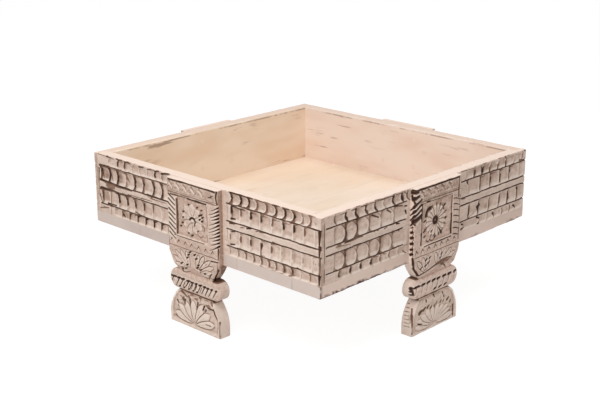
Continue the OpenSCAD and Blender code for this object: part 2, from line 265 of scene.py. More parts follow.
FRONT_RIGHT = (
    ("open", 9, 13, -1.3, 1.2, (89, 112, 132, 152, 175, 197, 218, 239, 259, 276),
     (100, 100, 100, 80, 85, 90, 95, 95, 55, 70)),
    ("tick", 0, 0, -0.25, 1, (87, 111, 135, 161, 188, 213, 238, 262, 287),
     (100, 70, 100, 85, 75, 95, 95, 70, 30)),
    ("tick", 0, 2, -0.4, 0.75, (84, 110, 135, 161, 185, 210, 234, 259, 282),
     (50, 80, 80, 100, 75, 40, 40, 40, 35)),
    ("base", 8, 9, -0.7, 1.2, (84, 105, 124, 143, 162, 180, 197, 216, 235, 256, 276),
     (40, 65, 75, 70, 80, 80, 75, 90, 90, 40, 60)),
)
RIGHT_NEAR = (
    ("open", -4, -9, -1.4, 0.9, (-269, -242, -217, -191, -167, -142, -119, -95, -79),
     (60, 100, 100, 90, 100, 45, 100, 100, 80)),
    ("full-wedge", 15, 10, -1.3, 1.2, (-268, -240, -211, -179, -148, -113),
     (40, 100, 100, 70, 50, 50)),
    ("full-wedge", 15, 10, -1.3, 1.2, (-268, -241, -210, -179, -150, -117),
     (50, 95, 70, 65, 100, 70)),
    ("base", -4, -5, -0.7, 1.1, (-257, -229, -202, -175, -150, -125, -100),
     (75, 80, 85, 85, 65, 70, 35)),
)
RIGHT_FAR = (
    ("open", 0, 9, -1.4, 0.5, (99, 126, 152, 177, 204, 231, 259, 285),
     (30, 75, 100, 65, 70, 70, 40, 50)),
    ("full-hook", -11, -6, -0.9, 1.2, (107, 143, 176, 209, 241, 277),
     (20, 85, 85, 90, 90, 30)),
    ("full", -2, 3, -1.1, 0.9, (109, 141, 176, 210, 239, 272),
     (95, 100, 75, 75, 95, 85)),
    ("base", 4, 6, -1, 0.9, (95, 146, 173, 197, 223, 249, 269),
     (30, 40, 30, 40, 60, 60, 30)),
)

# Single marks on half a board: from x, w to x, w, width and darkness
FRONT_LEFT_MARKS = (
    (-292, 1, -266, 1, 2, 0.6), (-262, 1, -240, 3, 3.5, 0.9), (-232, 1, -214, 2, 3.5, 0.9),
    (-207, 2, -190, 2, 3.5, 1), (-163, 3, -150, 2, 4, 1), (-138, 3, -118, 1, 3, 0.9),
    (-117, 3, -105, 1, 4, 1), (-98, 4, -76, 0, 5, 1), (-270, 55, -188, 56.5, 4, 0.7),
    (-283, 67, -240, 67, 4, 0.85), (-278, 66, -278, 98, 3.5, 0.95), (-252, 72, -254, 124, 1.8, 0.6),
    (-299, 113, -262, 105, 5, 0.5), (-264, 60, -240, 62, 9, 0.5), (-296, 116, -260, 121, 1.5, 0.4),
    (-288, 30, -292, 62, 4, 0.6), (-104, 23, -98, 27, 3, 1), (-99, 46, -96, 51, 4, 1),
    (-84, 100, -85, 139, 2, 0.8), (-140, 57, -116, 58, 2, 0.5), (-160, 64, -128, 64, 2.2, 0.7),
    (-279, 30, -274, 48, 7, 0.8), (-255, 27, -246, 48, 5, 0.7), (-206, 24, -196, 40, 5, 0.6),
    (-152, 74, -152, 86, 5, 0.9), (-125, 70, -126, 84, 3, 0.8), (-218, 110, -212, 114, 7, 0.9),
    (-288, 30, -289, 76, 6, 0.7), (-286, 24, -240, 25, 3, 0.75), (-240, 24.5, -186, 26, 2.4, 0.65),
    (-182, 25.5, -150, 24, 2, 0.55), (-288, 52, -236, 53, 6, 0.95), (-236, 54, -190, 55, 4.5, 0.8),
    (-142, 53, -84, 54, 4, 0.9), (-132, 59, -86, 58, 2.4, 0.6), (-286, 70.5, -238, 69.5, 6, 0.8),
    (-238, 71, -196, 69.5, 3.6, 0.85), (-200, 65, -152, 64.5, 2.4, 0.8), (-264, 97, -238, 96, 5, 0.9),
    (-178, 96, -150, 101, 3.4, 0.75), (-182, 103, -158, 99, 3.4, 0.75), (-288, 84, -282, 98, 5, 0.6),
    (-286, 104, -262, 107, 2, 0.4),
)
FRONT_RIGHT_MARKS = (
    (78, 22, 80, 50, 1.8, 0.4), (78, 69, 80, 97, 1.8, 0.4), (90, 25, 122, 26, 4, 1),
    (89, 24, 90, 50, 2.4, 0.9), (88, 48, 98, 47, 5, 1), (84, 57, 97, 56, 4, 0.85),
    (112, 59, 122, 57, 2.5, 0.7), (127, 57, 138, 55, 3.6, 1), (150, 57, 157, 55, 2.5, 0.6),
    (88, 72, 97, 70, 3, 1), (86, 96, 96, 94, 4, 1), (160, 117, 196, 122, 3, 0.4),
    (196, 120, 214, 117, 3.5, 0.5), (228, 117, 240, 114, 4, 0.5), (137, 28, 150, 26, 2.5, 0.8),
    (163, 28, 178, 25, 2.2, 0.7), (190, 28, 206, 26, 2.2, 0.6), (215, 28, 230, 26, 2.2, 0.6),
    (86, 1, 118, 1, 4, 1), (120, 1, 142, 1, 3, 1), (150, 1, 170, 1, 2.5, 0.9), (188, 1, 205, 1, 3, 0.9),
    (214, 2, 228, 1, 3, 1), (296.5, 24, 296.5, 51, 9, 1), (297, 50, 296.5, 68, 8, 1),
    (298, 70, 298, 97, 4, 0.85), (296.5, 101, 296.5, 117, 8, 1), (161, 76, 161, 98, 3.4, 0.9),
)
RIGHT_NEAR_MARKS = (
    (-200, 3, -150, 2.5, 2.4, 0.9), (-148, 2.6, -112, 2.6, 3.2, 1), (-106, 3, -90, 2.6, 2.6, 0.9),
    (-85, 2, -77, 8, 2.6, 0.8), (-250, 5, -238, 3.5, 2.5, 0.6), (-222, 4, -212, 3, 3, 0.7),
    (-170, 25, -152, 33, 4, 0.9), (-130, 25, -119, 32, 4, 1), (-110, 23, -88, 27, 4, 1),
    (-81, 29, -76, 30, 4, 1), (-79, 38, -77, 44, 5, 1), (-79, 54, -77, 54, 3, 0.7),
    (-262, 58, -226, 62, 3, 0.5), (-240, 57, -194, 56, 2.8, 0.85), (-137, 57, -129, 56, 3, 0.7),
    (-104, 56, -96, 57.5, 4, 1), (-98, 70, -94, 72, 2.5, 0.8), (-165, 102, -152, 103, 3, 0.8),
    (-137, 103, -131, 105, 3, 0.7), (-200, 105, -196, 110, 3, 0.8), (-174, 110, -168, 112, 3.5, 1),
    (-83, 112, -75, 118, 2.4, 0.9), (-75, 118, -74.6, 137, 1.8, 0.7), (-292, 121, -222, 121, 1.4, 0.5),
    (-290, 22, -290, 117, 1.4, 0.5),
)
RIGHT_FAR_MARKS = (
    (104, 25, 108, 31, 6, 0.95), (91, 105, 98, 108, 4.5, 0.95), (90, 115, 99, 113, 4.5, 0.95),
    (140, 103, 150, 107, 5, 1), (143, 117, 149, 116, 4, 0.9), (194, 107, 198, 114, 6, 0.9),
    (266, 108, 272, 114, 6, 0.9), (214, 120, 224, 122, 2, 0.5), (141, 82, 141, 90, 8, 1),
    (274, 73, 276, 82, 7, 1), (146, 28, 162, 25, 2.4, 0.95), (180, 28, 200, 25, 2.2, 0.9),
    (212, 28, 226, 25, 2.2, 0.8), (244, 27, 258, 25, 2, 0.7), (278, 18, 299, 20, 4, 0.7),
    (84, 1, 130, 3, 2, 0.7), (228, 1, 232, 6, 4, 0.8), (132, 92, 112, 98, 2, 0.5),
    (125, 20, 125, 6, 4.5, 0.9), (151, 20, 150, 3, 6.5, 1), (175, 20, 175, 11, 4, 0.7),
    (203, 20, 202, 11, 4, 0.75), (230, 20, 229, 9, 4.5, 0.8), (104, 101, 116, 97, 3, 0.8),
    (294, 1, 299, 3, 3, 0.8),
)

# Soft brown patches on half a board: x, w, half width, half height and strength
FRONT_LEFT_STAINS = (
    (-252, 61, 18, 12, 1.3), (-240, 55, 56, 5, 1), (-268, 38, 26, 20, 0.8), (-222, 38, 12, 18, 0.8),
    (-270, 84, 26, 20, 0.6), (-170, 38, 10, 16, 0.75), (-145, 38, 9, 16, 0.65), (-120, 56, 46, 6, 0.6),
    (-196, 36, 10, 16, 0.7), (-290, 60, 6, 60, 0.75), (-160, 99, 26, 5, 0.7), (-224, 84, 10, 14, 0.5),
    (-120, 38, 8, 16, 0.6), (-214, 112, 14, 10, 0.5),
)
FRONT_RIGHT_STAINS = (
    (186, 116, 30, 5, 0.85), (216, 110, 7, 9, 0.9), (234, 111, 7, 10, 0.9), (100, 58, 16, 6, 0.3),
    (200, 36, 22, 14, 0.4), (130, 10, 40, 10, 0.3), (297, 80, 5, 60, 0.8),
)
RIGHT_NEAR_STAINS = (
    (-254, 58, 9, 6, 0.95), (-220, 56, 30, 4, 0.6), (-150, 8, 70, 8, 0.4), (-200, 75, 22, 8, 0.3),
    (-296, 70, 5, 70, 0.5), (-148, 85, 12, 16, 0.4),
)
RIGHT_FAR_STAINS = (
    (200, 6, 90, 9, 0.6), (165, 40, 40, 16, 0.3), (176, 84, 16, 14, 0.6), (260, 44, 50, 14, 0.35),
    (290, 20, 16, 6, 0.7), (235, 110, 30, 10, 0.3), (110, 30, 24, 14, 0.3),
)


def plain_half(x0, seed):
    """Rows for half a board that the photograph doesn't show, from x0 on, without marks or stains."""
    rng = np.random.default_rng(seed)
    rows = []
    for style, pitch in (("open", 22), ("full", 26), ("full", 27), ("base", 22)):
        count = int((HALF - CLEAR_OF_LEG - 16) / pitch)
        places = x0 + 12 + pitch * np.arange(count) + rng.uniform(-1.5, 1.5, count)
        bulge = rng.choice((-1, 1)) * rng.uniform(5, 10)
        rows.append((style, bulge, bulge * rng.uniform(0.3, 0.9), rng.uniform(-1.3, -0.4), 1.2,
                     places, rng.uniform(40, 100, count)))
    return rows, (), ()


def scallops(relief, limits, row, slope, spread, x0, x1, seed):
    """Carves one row: each cut is deepest at its left edge and runs out to the right."""
    style, top_bend, low_bend, v0, v1, places, percents = row
    style, _, corner_style = style.partition("-")
    hooked, wedged = corner_style == "hook", corner_style == "wedge"
    top, bottom = limits
    places, ends = np.array(places, float), np.append(places[1:], x1)
    strengths = np.array(percents) / 100
    v = 1 - 2 * (relief.w - top) / (bottom - top)
    bend = np.where(v > 0, top_bend, low_bend)
    high = np.clip(np.abs(v), 0, 0.995)
    bend = bend * np.where(bend > 0, 1 - np.sqrt(1 - high ** 2), high ** 2)
    x = relief.x + (0 if corner_style else bend) + 0.6 * noise(relief.x, relief.w, 9, seed)
    i = np.searchsorted(places, x) - 1
    held = (i >= 0) & (x < x1)
    i = np.clip(i, 0, len(places) - 1)
    start, end, strength = places[i], ends[i], strengths[i]
    s = x - start
    past = np.maximum(s - np.where(bend > 0, bend, -bend if hooked else 0), 0)
    t = np.clip(past / (end - start), 0, 1)
    arch = np.clip(1 - v * v, 0, 1)
    low_edge = ease((bottom - relief.w) / (5 if style == "base" else 1.8))
    if style == "open":
        edge = low_edge * (1 - 0.17 * slope * (1 - ease(relief.w / 6)))
    else:
        edge = low_edge * ease((relief.w - top) / 1.6)
    deep = 0.75 + 0.25 * v if style != "tick" else 0.35 + 0.65 * ease((v + 0.7) / 1.2)
    deep = deep * (1.9 if style == "base" else 2.5) * (1.25 - 0.1 * slope)
    depth = deep * (0.35 + 0.65 * strength) * (1 - t) ** 1.25 * ease(s / slope) * edge
    hollow = (1.7 if style == "open" else 1.5) * arch * window(x, start, end, 6) * edge
    # wax: black against the pad, brown in the corner beyond it, and fading out to the right
    reach = ease((v - v0) / 0.35) * ease((v1 - v) / 0.3)
    thick = (1.0 + spread * strength) * (0.4 + 0.6 * arch) * (0.7 if wedged else 1)
    thick = thick * (1 + 0.35 * noise(relief.x, relief.w, 5, seed + 50))
    black = 1 - ease((s - 0.75 * thick) / (0.45 * thick))
    corner = (0.9 if hooked else 0.45 + 0.04 * spread) * (1 - ease((past - 0.7) / (1.6 if hooked else 3.5)))
    faint = 0.35 * (1 - ease((s - 0.6) / 1.2)) * low_edge
    dark = np.maximum(strength * reach * np.maximum(black, corner), faint) * ease(s / 0.8 + 0.5)
    if wedged:
        ahead = np.append(strengths[1:], 0)[i]
        past_pad = x - end + bend
        filled = np.where(v > 0, ahead, ahead ** 2) * ease(past_pad / 1.4)
        outline = np.sqrt(ahead) * np.exp(-((past_pad - 0.8) / 1.1) ** 2) * np.where(v > 0, 1, ahead ** 2)
        dark = np.maximum(0.85 * dark, np.maximum((0.5 - 0.25 * v) * filled, 0.8 * outline))
        depth = np.maximum(depth, 1.3 * filled)
    if style in ("full", "tick"):
        line = np.exp(-((relief.w - top - 2.2 - 0.8 * noise(relief.x, 0, 6, seed + 51)) / 1.1) ** 2)
        line = (0.8 if style == "tick" else 0.5) * strength * line * np.clip(1 - 1.6 * t, 0, 1)
        dark = np.maximum(dark, line)
    if style == "open":
        ragged = strength * ease((1.6 + 1.2 * noise(relief.x, 0, 5, seed + 51) - relief.w) / 1.2)
        dark = np.maximum(dark, 0.7 * ragged * np.clip(1.1 - 1.2 * t, 0, 1))
        depth = depth + 0.9 * edge * ragged * np.clip(1.1 - t, 0, 1)
    # brown in the deep part of each cut, partly wax and partly painted shade, and painted shade over the
    # upper part of each pad, which faces down
    wax_and_shade = 0.5 * (1 - t) ** 1.5 * (0.4 + 0.6 * strength) * np.clip(0.6 + 0.4 * v, 0, 1)
    wax_and_shade = np.maximum(wax_and_shade, 0.4 * ease((v - 0.1) / 0.8) * strength)
    # the lower lip of each pad is painted lighter: a painted highlight where it faces up
    lip = ease((-v - 0.3) / 0.35) * ease((v + 1.05) / 0.15) * ease((s - thick) / 4)
    inside = held & (relief.w >= top) & (relief.w <= bottom) & (relief.x > x0)
    for layer, amount in (("depth", depth + hollow), ("dark", dark), ("soil", wax_and_shade), ("light", 0.65 * lip)):
        relief.lay(layer, np.where(inside, amount, 0))


BOARD_CARVING = {
    "front": ((FRONT_LEFT, FRONT_LEFT_MARKS, FRONT_LEFT_STAINS),
              (FRONT_RIGHT, FRONT_RIGHT_MARKS, FRONT_RIGHT_STAINS)),
    "right": ((RIGHT_NEAR, RIGHT_NEAR_MARKS, RIGHT_NEAR_STAINS),
              (RIGHT_FAR, RIGHT_FAR_MARKS, RIGHT_FAR_STAINS)),
    "back": (plain_half(-HALF + TONGUE_T, 21), plain_half(CLEAR_OF_LEG, 22)),
    "left": (plain_half(-HALF + TONGUE_T, 23), plain_half(CLEAR_OF_LEG, 24)),
}


def carve_board(side, x, w):
    """The relief of one side board."""
    relief = Relief(x, w, 100 * SIDES.index(side))
    spans = ((-HALF + TONGUE_T, -CLEAR_OF_LEG), (CLEAR_OF_LEG, HALF))
    for half, ((rows, marks, stains), (x0, x1)) in enumerate(zip(BOARD_CARVING[side], spans)):
        first, last = (x0 + 2, x1 - 5) if half else (x0, x1)
        for n, (limits, row) in enumerate(zip(BANDS, rows)):
            seed = relief.seed + 10 * half + n
            scallops(relief, limits, row, CUT_SLOPE[side], WAX_SPREAD[side], first, last, seed)
        for n, level in enumerate(GROOVES):
            stop = x1 - (0, 4, 10, 8)[n] if side == "right" and not half else x1 + 2
            relief.level_line(level, x0 + (0 if half else 3), stop, 3.0, 2.2, 0.8, 40 + 10 * half + 2 * n)
        # small slips of the gouge along the grooves
        rng = np.random.default_rng(relief.seed + 60 + half)
        for level in GROOVES:
            for _ in range(9):
                xa, wa = rng.uniform(x0 + 4, x1 - 4), level + rng.uniform(-2.5, 2.5)
                xb, wb = xa + rng.uniform(3, 12), wa + rng.uniform(-0.8, 0.8)
                relief.gouge(xa, wa, xb, wb, rng.uniform(1.4, 2.6), 0.6, rng.uniform(0.3, 0.75), 0.6)
        for *ends, width, dark in marks:
            depth = 0.4 * min(width, 6) if dark > 0.5 else 0.5
            relief.gouge(*ends, width, depth, dark, 0.35 if width < 6 else 0.7)
        relief.marks({"stain": stains})
    return relief


def place(side, points):
    """Turns points in a side's own frame, in mm, to the world, in metres."""
    turn = math.radians(90 * SIDES.index(side))
    x, y = points[..., 0], points[..., 1] - HALF
    turned_x = x * math.cos(turn) - y * math.sin(turn)
    turned_y = x * math.sin(turn) + y * math.cos(turn)
    return np.stack((turned_x, turned_y, points[..., 2]), -1) * MM


def loft(name, side, sections, values, insets=()):
    """A closed mesh through sections, each a ring of points, with float values at the points.

    Insets draw smaller rings on the two end faces, so many mm from their edges, where the wax fades out.
    """
    ends = sections[[0, -1]]
    low, high = ends.min(1, keepdims=True), ends.max(1, keepdims=True)
    middle, half = (low + high) / 2, np.maximum((high - low) / 2, 0.01)
    edges = {key: value[[0, -1]] for key, value in values.items()}
    for inset in insets:
        drawn = middle + (ends - middle) * np.clip(1 - inset / half, 0, 1)
        sections = np.concatenate((drawn[:1], sections, drawn[1:]))
        for key, edge in edges.items():
            share = 1 - inset / insets[-1] if key == "dark" else 0
            kept = share * edge + END_SOIL * (key == "soil")
            values[key] = np.concatenate((kept[:1], values[key], kept[1:]))
    count, ring = sections.shape[:2]
    capped = np.concatenate((sections, sections[[0, -1]]))
    across, start = np.arange(ring), np.arange(count - 1)[:, None] * ring
    a, b = (start + across).ravel(), (start + (across + 1) % ring).ravel()
    faces = np.stack((a, b, b + ring, a + ring), 1).tolist()
    faces += [(count * ring + across)[::-1].tolist(), ((count + 1) * ring + across).tolist()]
    mesh = bpy.data.meshes.new(name)
    mesh.from_pydata(place(side, capped).reshape(-1, 3).tolist(), [], faces)
    for key, value in values.items():
        cap = value[[0, -1]] * (1 if insets or key == "inside" else 0)
        data = np.concatenate((value, cap)).ravel().astype(np.float32)
        mesh.attributes.new(key, "FLOAT", "POINT").data.foreach_set("value", data)
    grain = capped.reshape(-1, 3) * MM
    grain[:, 0] += 3.7 * SIDES.index(side)
    vectors = mesh.attributes.new("grain", "FLOAT_VECTOR", "POINT").data
    vectors.foreach_set("vector", grain.astype(np.float32).ravel())
    mesh.shade_smooth()
    mesh.set_sharp_from_angle(angle=math.radians(48))
    return add_object(name, mesh)


def add_object(name, data):
    """A new object in the scene."""
    obj = bpy.data.objects.new(name, data)
    bpy.context.scene.collection.objects.link(obj)
    return obj


def stand_in(piece, node, material):
    """Puts a painted piece on the table in place of a CAD node."""
    piece.data.materials.append(material)
    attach(piece, "root")
    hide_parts(node)


def coats(relief, seed, rest, hollow_wax, painted_light, lost):
    """Wax with some painted shadow, wear with painted highlights, and soil with painted shade at the points
    of a ring: the relief's own, then so many points with none.
    """
    # how far each point lies below its surroundings, in mm
    hollow = relief.depth - 0.5 * (blur(relief.depth, 5) + blur(relief.depth, 13))
    dark = np.clip(relief.dark + hollow_wax * np.clip(hollow, 0, 1.5), 0, 1.2)
    # paler on raised points, partly worn paint and partly painted highlight, and wherever painted light and
    # painted highlights are laid
    wear = np.clip(painted_light + relief.light - lost * hollow, 0, 1)
    # brown has crept out of the cuts into the wood beside them, in patches
    patches = 0.8 + 0.5 * noise(relief.x, relief.w, 26, seed) + 0.35 * noise(relief.x, relief.w, 8, seed + 1)
    crept = 1.2 * blur(relief.dark, 7) + 1.0 * blur(relief.dark, 19)
    # the hollows are browner as well, partly wax and partly painted shade
    soil = np.clip((crept + relief.soil + 0.9 * np.clip(hollow, 0, 1)) * patches, 0, 1)
    return {key: np.pad(value, ((0, 0), (0, rest))) for key, value in
            (("dark", dark), ("wear", wear), ("soil", soil))}


def board_stations():
    """Places along a board: close together where it is carved, and far apart behind its leg."""
    hidden = PLATE_W / 2 - 4
    turn = HALF - BOARD_T
    return np.concatenate((np.arange(-HALF + TONGUE_T, -hidden, 1.1), np.arange(-hidden, hidden, 6.0),
                           np.arange(hidden, turn, 1.1), [turn, turn + 0.02],
                           np.arange(turn + 0.8, HALF - 1.2, 1.1), HALF - np.array([1.0, 0.6, 0.3, 0.1, 0])))


def make_board(side, material):
    """A carved side board, worn along its edges."""
    seed = 500 + 10 * SIDES.index(side)
    x = board_stations()[:, None]
    w = np.concatenate(([BOARD_H, BOARD_H - 0.3], np.arange(BOARD_H - 1, 2.2, -1.05), [1.6, 1, 0.5, 0.2, 0]))
    relief = carve_board(side, x, w)
    worn = np.clip(1.2 + 0.4 * noise(x, 0, 31, seed) + 0.25 * noise(x, 0, 6, seed + 1), 0.5, 2)
    front = relief.depth + arris(relief.w, worn)
    front = front + 0.5 * arris(HALF - relief.x, 1.2 + 0.8 * noise(w, 0, 13, seed))
    front = front + 0.12 * noise(relief.x, relief.w, 17, seed + 2) + 0.12
    on_tongue = x > HALF - BOARD_T + 0.01
    back = np.where(on_tongue, TONGUE_T, BOARD_T - PLUG_PROUD)
    lip = np.where(on_tongue, 0.01, 1.1 + 0.5 * noise(x, 0, 23, seed + 3))
    across = np.append([0.02, 0.045], np.linspace(0, 1, 9)[1:-1])
    top_y = front[:, -1:] + (back - lip - front[:, -1:]) * across
    sink = np.array([0, 0.15, 0.5, 1.0])
    inner_w = np.append(np.linspace(3, BOARD_H - 3, 12), BOARD_H)
    ring_y = np.concatenate((front, top_y, back - lip * (1 - sink) ** 2, back + 0 * inner_w), 1)
    ring_w = np.concatenate((relief.w, 0 * top_y, lip * sink, 0 * x + inner_w), 1)
    sections = np.stack((x + 0 * ring_w, ring_y, Z_RIM - ring_w), -1)
    first_top = front.shape[1]
    rest = ring_y.shape[1] - first_top
    values = coats(relief, seed + 5, rest, 0.2, 0, 1.1)
    dark = values["dark"]
    dark[:, first_top] = 0.85 * dark[:, first_top - 1] * ease(noise(x[:, 0], 0, 9, seed + 6) + 0.7)
    # the seam beside the tongue's end, where the neighbouring board begins
    dark[-1, first_top + 1:] = 0.85 * ease(noise(ring_w[-1, first_top + 1:], 0, 21, seed + 7) * 2 + 0.9)
    values["inside"] = 0 * x + np.repeat((0, 0.5, 1), (first_top, len(across), rest - len(across)))
    values["below"] = ring_w / 100
    board = loft(side + "_board_carved", side, sections, values, (0.5, 1.3, 3.2))
    stand_in(board, side + "_board", material)


def bulged(z, z0, z1, x0, x1, bulge):
    """Half width at height z of an edge from x0 at z0 to x1 at z1 that bulges outwards."""
    t = np.clip((z - z0) / (z1 - z0), 0, 1)
    return x0 + (x1 - x0) * t + 4 * bulge * t * (1 - t)


def by_part(z, foot, roll, cup):
    """Chooses between values for the foot, the roll and what is above it."""
    return np.where(z < Z_ROLL, foot, np.where(z <= Z_CUP, roll, cup))


def leg_half_width(z):
    """Half the width of the leg at height z."""
    foot = bulged(z, FOOT_SIDE_H, Z_ROLL, FOOT_W / 2, WAIST_W / 2, FOOT_BULGE) - arris(z, 3)
    rise = z - Z_ROLL - ROLL_H / 2
    roll = (ROLL_W - ROLL_H) / 2 + np.sqrt(np.clip((ROLL_H / 2) ** 2 - rise ** 2, 0, None))
    return by_part(z, foot, roll, bulged(z, Z_CUP, Z_PLATE, WAIST_W / 2, PLATE_W / 2, CUP_BULGE))


def leg_stations():
    """Heights up a leg."""
    step = 0.85
    roll = Z_ROLL + ROLL_H / 2 * (1 - np.cos(np.linspace(0, math.pi, 54)))
    return np.concatenate(([0, 0.3, 0.8, 1.6], np.arange(2.6, Z_ROLL - 0.4, step), [Z_ROLL - 0.02], roll,
                           [Z_CUP + 0.02], np.arange(Z_CUP + 0.8, Z_LAP - 0.3, step), [Z_LAP, Z_LAP + 0.02],
                           np.arange(Z_LAP + 0.8, Z_RIM - 1.8, step),
                           Z_RIM - np.array([1.4, 0.9, 0.5, 0.2, 0])))


def leg_fall(x, z, worn):
    """How far the leg's face lies behind its front plane: waists, the pillow of the roll and worn edges."""
    reach = np.hypot(np.maximum(np.abs(x) - (ROLL_W - ROLL_H) / 2, 0), z - Z_ROLL - ROLL_H / 2)
    foot, cup = [5.0 * (1 - ease(past / 13)) ** 1.2 for past in (Z_ROLL + 1 - z, z - Z_CUP + 1)]
    edge = arris(leg_half_width(z) - np.abs(x), worn)
    return by_part(z, foot + edge, 0.62 * arris(ROLL_H / 2 - reach, 9), cup + edge)


def carve_top_band(relief, chips, light, dark):
    """The band under the rim: slanted chips with painted highlights on them and painted shade above them, a
    dark top line and a ledge.
    """
    rng = np.random.default_rng(relief.seed)
    edge = PLATE_W / 2
    relief.lay("soil", 0.75 * ease((26 - relief.w) / 3) * (np.abs(relief.x) < edge))
    for x in chips:
        relief.gouge(x - 5, 8, x + 5, 17, 5.4, 1.7, 0.12, 0.4, 0.8)
        relief.painted_highlight(x - 6, 9, x + 4, 18, 2.8, light)
        relief.gouge(x - 4, 6, x + 5, 12, 2.4, 1.6, dark * rng.uniform(0.7, 1), 0.5)
        relief.gouge(x + 5, 19, x + 10, 14, 2.2, 1.0, dark * rng.uniform(0.4, 0.9), 0.5)
        relief.gouge(x - 9, 18, x - 4, 15, 2.4, 1.0, dark * rng.uniform(0.3, 0.8), 0.5)
    relief.marks({"level_line": (
        (3.2, -edge, edge - 6, 4.0, 1.2, 0.95, 2), (27, -edge, edge - 10, 6, 0.6, 0.3, 21),
        (23, -edge + 10, edge - 4, 1.8, 0.8, 0.25, 3), (26.5, -edge, edge - 2, 2.6, 1.4, 0.4, 0))})


def carve_nick_row(relief, level, nicks, dark):
    """A row of small triangular nicks over a line."""
    relief.level_line(level + 10, -PLATE_W / 2, PLATE_W / 2, 1.9, 1.0, 0.45, 11)
    for x in nicks:
        relief.gouge(x, level - 3, x - 4, level + 3, 3.0, 1.4, dark, 0.5)
        relief.gouge(x, level - 3, x + 4.5, level + 2, 2.6, 1.2, 0.7 * dark, 0.5)


def carve_spray(relief, step, foot, tips, blobs):
    """A spray of light leaves on half of the cup, with dark cuts at its root."""
    rng = np.random.default_rng(relief.seed + step)
    for x, w in tips:
        base = (foot[0] + 0.22 * (x - foot[0]), foot[1] + 0.22 * (w - foot[1]))
        relief.leaf(*base, x, w, 8.5, 1.5, 0.3 + 0.25 * rng.random(), 0.62, 0.2)
    relief.gouges_at(blobs, -2.4, 1.4, 2.6, -1.4, 4.4, 2.2, 0.95, 0.4)


def carve_roll(relief, dashes, top, thick, length, lean, slant_dark):
    """Dark dashes along the roll, each x0 to x1, with a slanted cut below it."""
    rng = np.random.default_rng(relief.seed + 9)
    for x0, x1 in dashes:
        relief.gouge(x0, top + 1, x1, top + rng.uniform(-0.8, 0.4), thick, 2.2, 1, 0.15)
        x, w = 0.45 * x0 + 0.55 * x1, top + length * rng.uniform(0.8, 1.1)
        relief.gouge(x, top + 1, x - lean, w, 3.4, 2.2, slant_dark * rng.uniform(0.7, 1.2), 0.5)


def carve_palmette(relief, hub, angles, reach, width, outline):
    """A fan of leaves on the foot, in sunk ground inside a border."""
    x0, w0 = hub
    seed = relief.seed + 10
    rng = np.random.default_rng(seed)
    border = leg_half_width(Z_RIM - relief.w) - np.abs(relief.x)
    border = border + 1.5 * noise(relief.x, relief.w, 14, seed + 3)
    field = ease((border - 3.5) / 4) * ease((w0 + 5 - relief.w) / 9) * ease((relief.w - 213) / 3)
    relief.cut(field, 1.8, 0.08)
    relief.lay("soil", 0.55 * field)
    mottle = ease((noise(relief.x, relief.w, 4.5, seed) + 0.05) / 0.5) * ease((238 - relief.w) / 8)
    relief.cut(field * mottle, 2.1, outline)
    for angle in angles:
        across, down = heading(angle + rng.uniform(-1.5, 1.5))
        far = rng.uniform(0.94, 1.05)
        tip = (x0 + far * reach[0] * across, w0 + far * reach[1] * down)
        relief.leaf(x0 + 6 * across, w0 + 6 * down, *tip, width, 2.0, outline, 0.7, 0.6 * outline)


